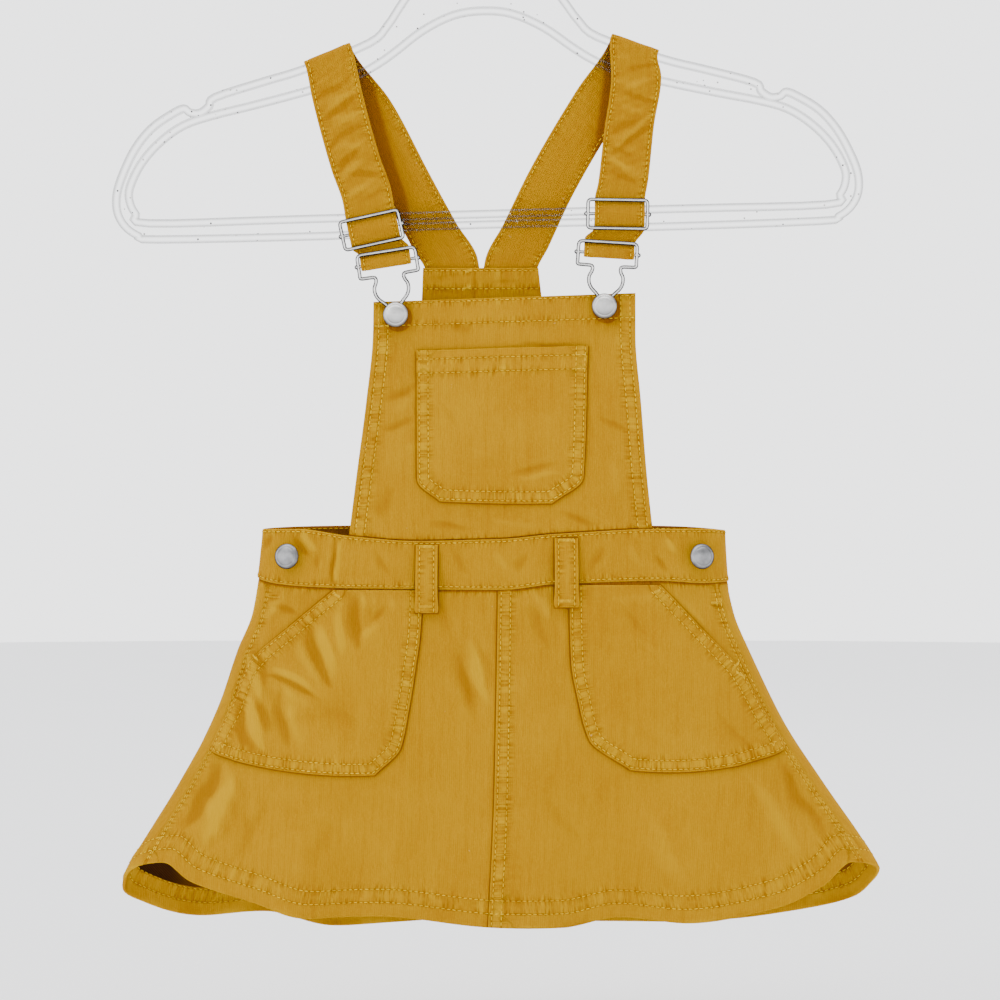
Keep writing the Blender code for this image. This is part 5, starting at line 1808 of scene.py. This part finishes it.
def lay_stitches(name, rows, tree, step, length, radius, seed):
    curve = bpy.data.curves.new(name, "CURVE")
    curve.dimensions = "3D"
    for row in rows:
        line = curve.splines.new("POLY")
        line.points.add(len(row) - 1)
        places = np.concatenate((row * MM, np.ones((len(row), 1))), axis=1)
        line.points.foreach_set("co", places.astype(np.float32).ravel())
    holder = linked(bpy.data.objects.new(name + "_rows", curve))
    layer = holder.modifiers.new("Stitches", "NODES")
    layer.node_group = tree
    values = {"Step": step * MM, "Length": length * MM, "Radius": radius * MM, "Seed": seed}
    for item in tree.interface.items_tree:
        if item.in_out == "INPUT" and item.name in values:
            layer[item.identifier] = values[item.name]
    bpy.context.view_layer.update()
    mesh = bpy.data.meshes.new_from_object(holder.evaluated_get(bpy.context.evaluated_depsgraph_get()))
    bpy.data.objects.remove(holder)
    piece = linked(bpy.data.objects.new(name, mesh))
    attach(piece, "root")


# ---------------------------------------------------------------- making it all
make_waistband("waistband_front", LEFT_SIDE, RIGHT_SIDE)
make_waistband("waistband_back", RIGHT_SIDE, FULL_TURN)
make_skirt()
make_bib_front()
make_bib_back()
make_yoke()
make_patch("chest_pocket", front_bib_surface, CHEST_POCKET, bib_shape, (84.0, 78.0, 0.8), 0.3,
           CHEST_POCKET_CREASES, POCKET_HEM_ROWS)
make_patch("hip_pocket_left", skirt_front, HIP_POCKET_LEFT, front_shape, (92.0, 92.0, 0.9), 1.7,
           shade_gap=under_loops, tacked=LEFT_POCKET_TACKS)
make_patch("hip_pocket_right", skirt_front, HIP_POCKET_RIGHT, front_shape, (96.0, 92.0, 0.9), 2.6,
           shade_gap=under_loops, tacked=RIGHT_POCKET_TACKS)
for loop in BELT_LOOPS:
    make_belt_loop(*loop)
for fitting in FITTINGS:
    make_strap(fitting)
    make_slider(fitting)
    make_bib_hook(fitting)
make_buttons()
make_hanger()
TREE = stitch_tree()
lay_stitches("stitch_rows", STITCHES, TREE, STITCH_STEP, STITCH_LENGTH, STITCH_RADIUS, 4)
lay_stitches("bar_tacks", TACKS, TREE, TACK_STEP, TACK_LENGTH, TACK_RADIUS, 9)


# ---------------------------------------------------------------- stage, light and camera
def lay_floor(radius, drop):
    shape = bmesh.new()
    bmesh.ops.create_circle(shape, cap_ends=True, segments=96, radius=radius)
    shape.transform(Matrix.Translation((0, 0, -drop)))
    mesh = bpy.data.meshes.new("floor")
    shape.to_mesh(mesh)
    shape.free()
    finish = Finish("pale_floor")
    tone = finish.noise(finish.place, 3.0, 3.0)
    colour = finish.mix(tone, (0.925, 0.93, 0.945, 1), (0.95, 0.953, 0.965, 1))
    mesh.materials.append(finish.done({"Base Color": colour, "Roughness": 0.8, "Specular IOR Level": 0.1}))
    floor = linked(bpy.data.objects.new("floor", mesh))


def light_room(low, middle, top):
    """A pale room, bright at the height of the dress and overhead, dim between."""
    world = bpy.data.worlds.new("pale_room")
    bpy.context.scene.world = world
    world.use_nodes = True
    tree = Tree(world.node_tree)
    _, _, height = tree.split(tree.add("ShaderNodeTexCoord").outputs["Generated"])
    beside, above = tree.ranged(height, 0.165, 0.27, low, middle), tree.ranged(height, 0.6, 0.92, 0.0, top)
    background = tree.nodes["Background"]
    background.inputs[0].default_value = (0.985, 0.99, 1.0, 1)
    tree.feed(background.inputs[1], tree.total(beside, above))


def area_light(name, place, aim, size, power):
    data = bpy.data.lights.new(name, "AREA")
    data.shape, data.size, data.energy = "DISK", size, power
    light = linked(bpy.data.objects.new(name, data))
    light.location = place
    light.rotation_euler = (Vector(aim) - Vector(place)).to_track_quat("-Z", "Y").to_euler()


def set_camera(place, lens, sensor):
    data = bpy.data.cameras.new("camera")
    data.lens, data.sensor_width = lens, sensor
    camera = linked(bpy.data.objects.new("camera", data))
    camera.location = place
    camera.rotation_euler = (math.radians(90), 0, 0)
    bpy.context.scene.camera = camera


lay_floor(4.4, 0.60)
light_room(2.9, 0.10, 4.9)
area_light("window", (-1.6, -1.2, 1.0), (0, 0, -0.33), 0.7, 13)
area_light("room", (1.5, 1.5, 1.0), (0, 0, -0.3), 1.0, 12)
set_camera((0.011, -1.5, -0.325), 108.0, 36.0)
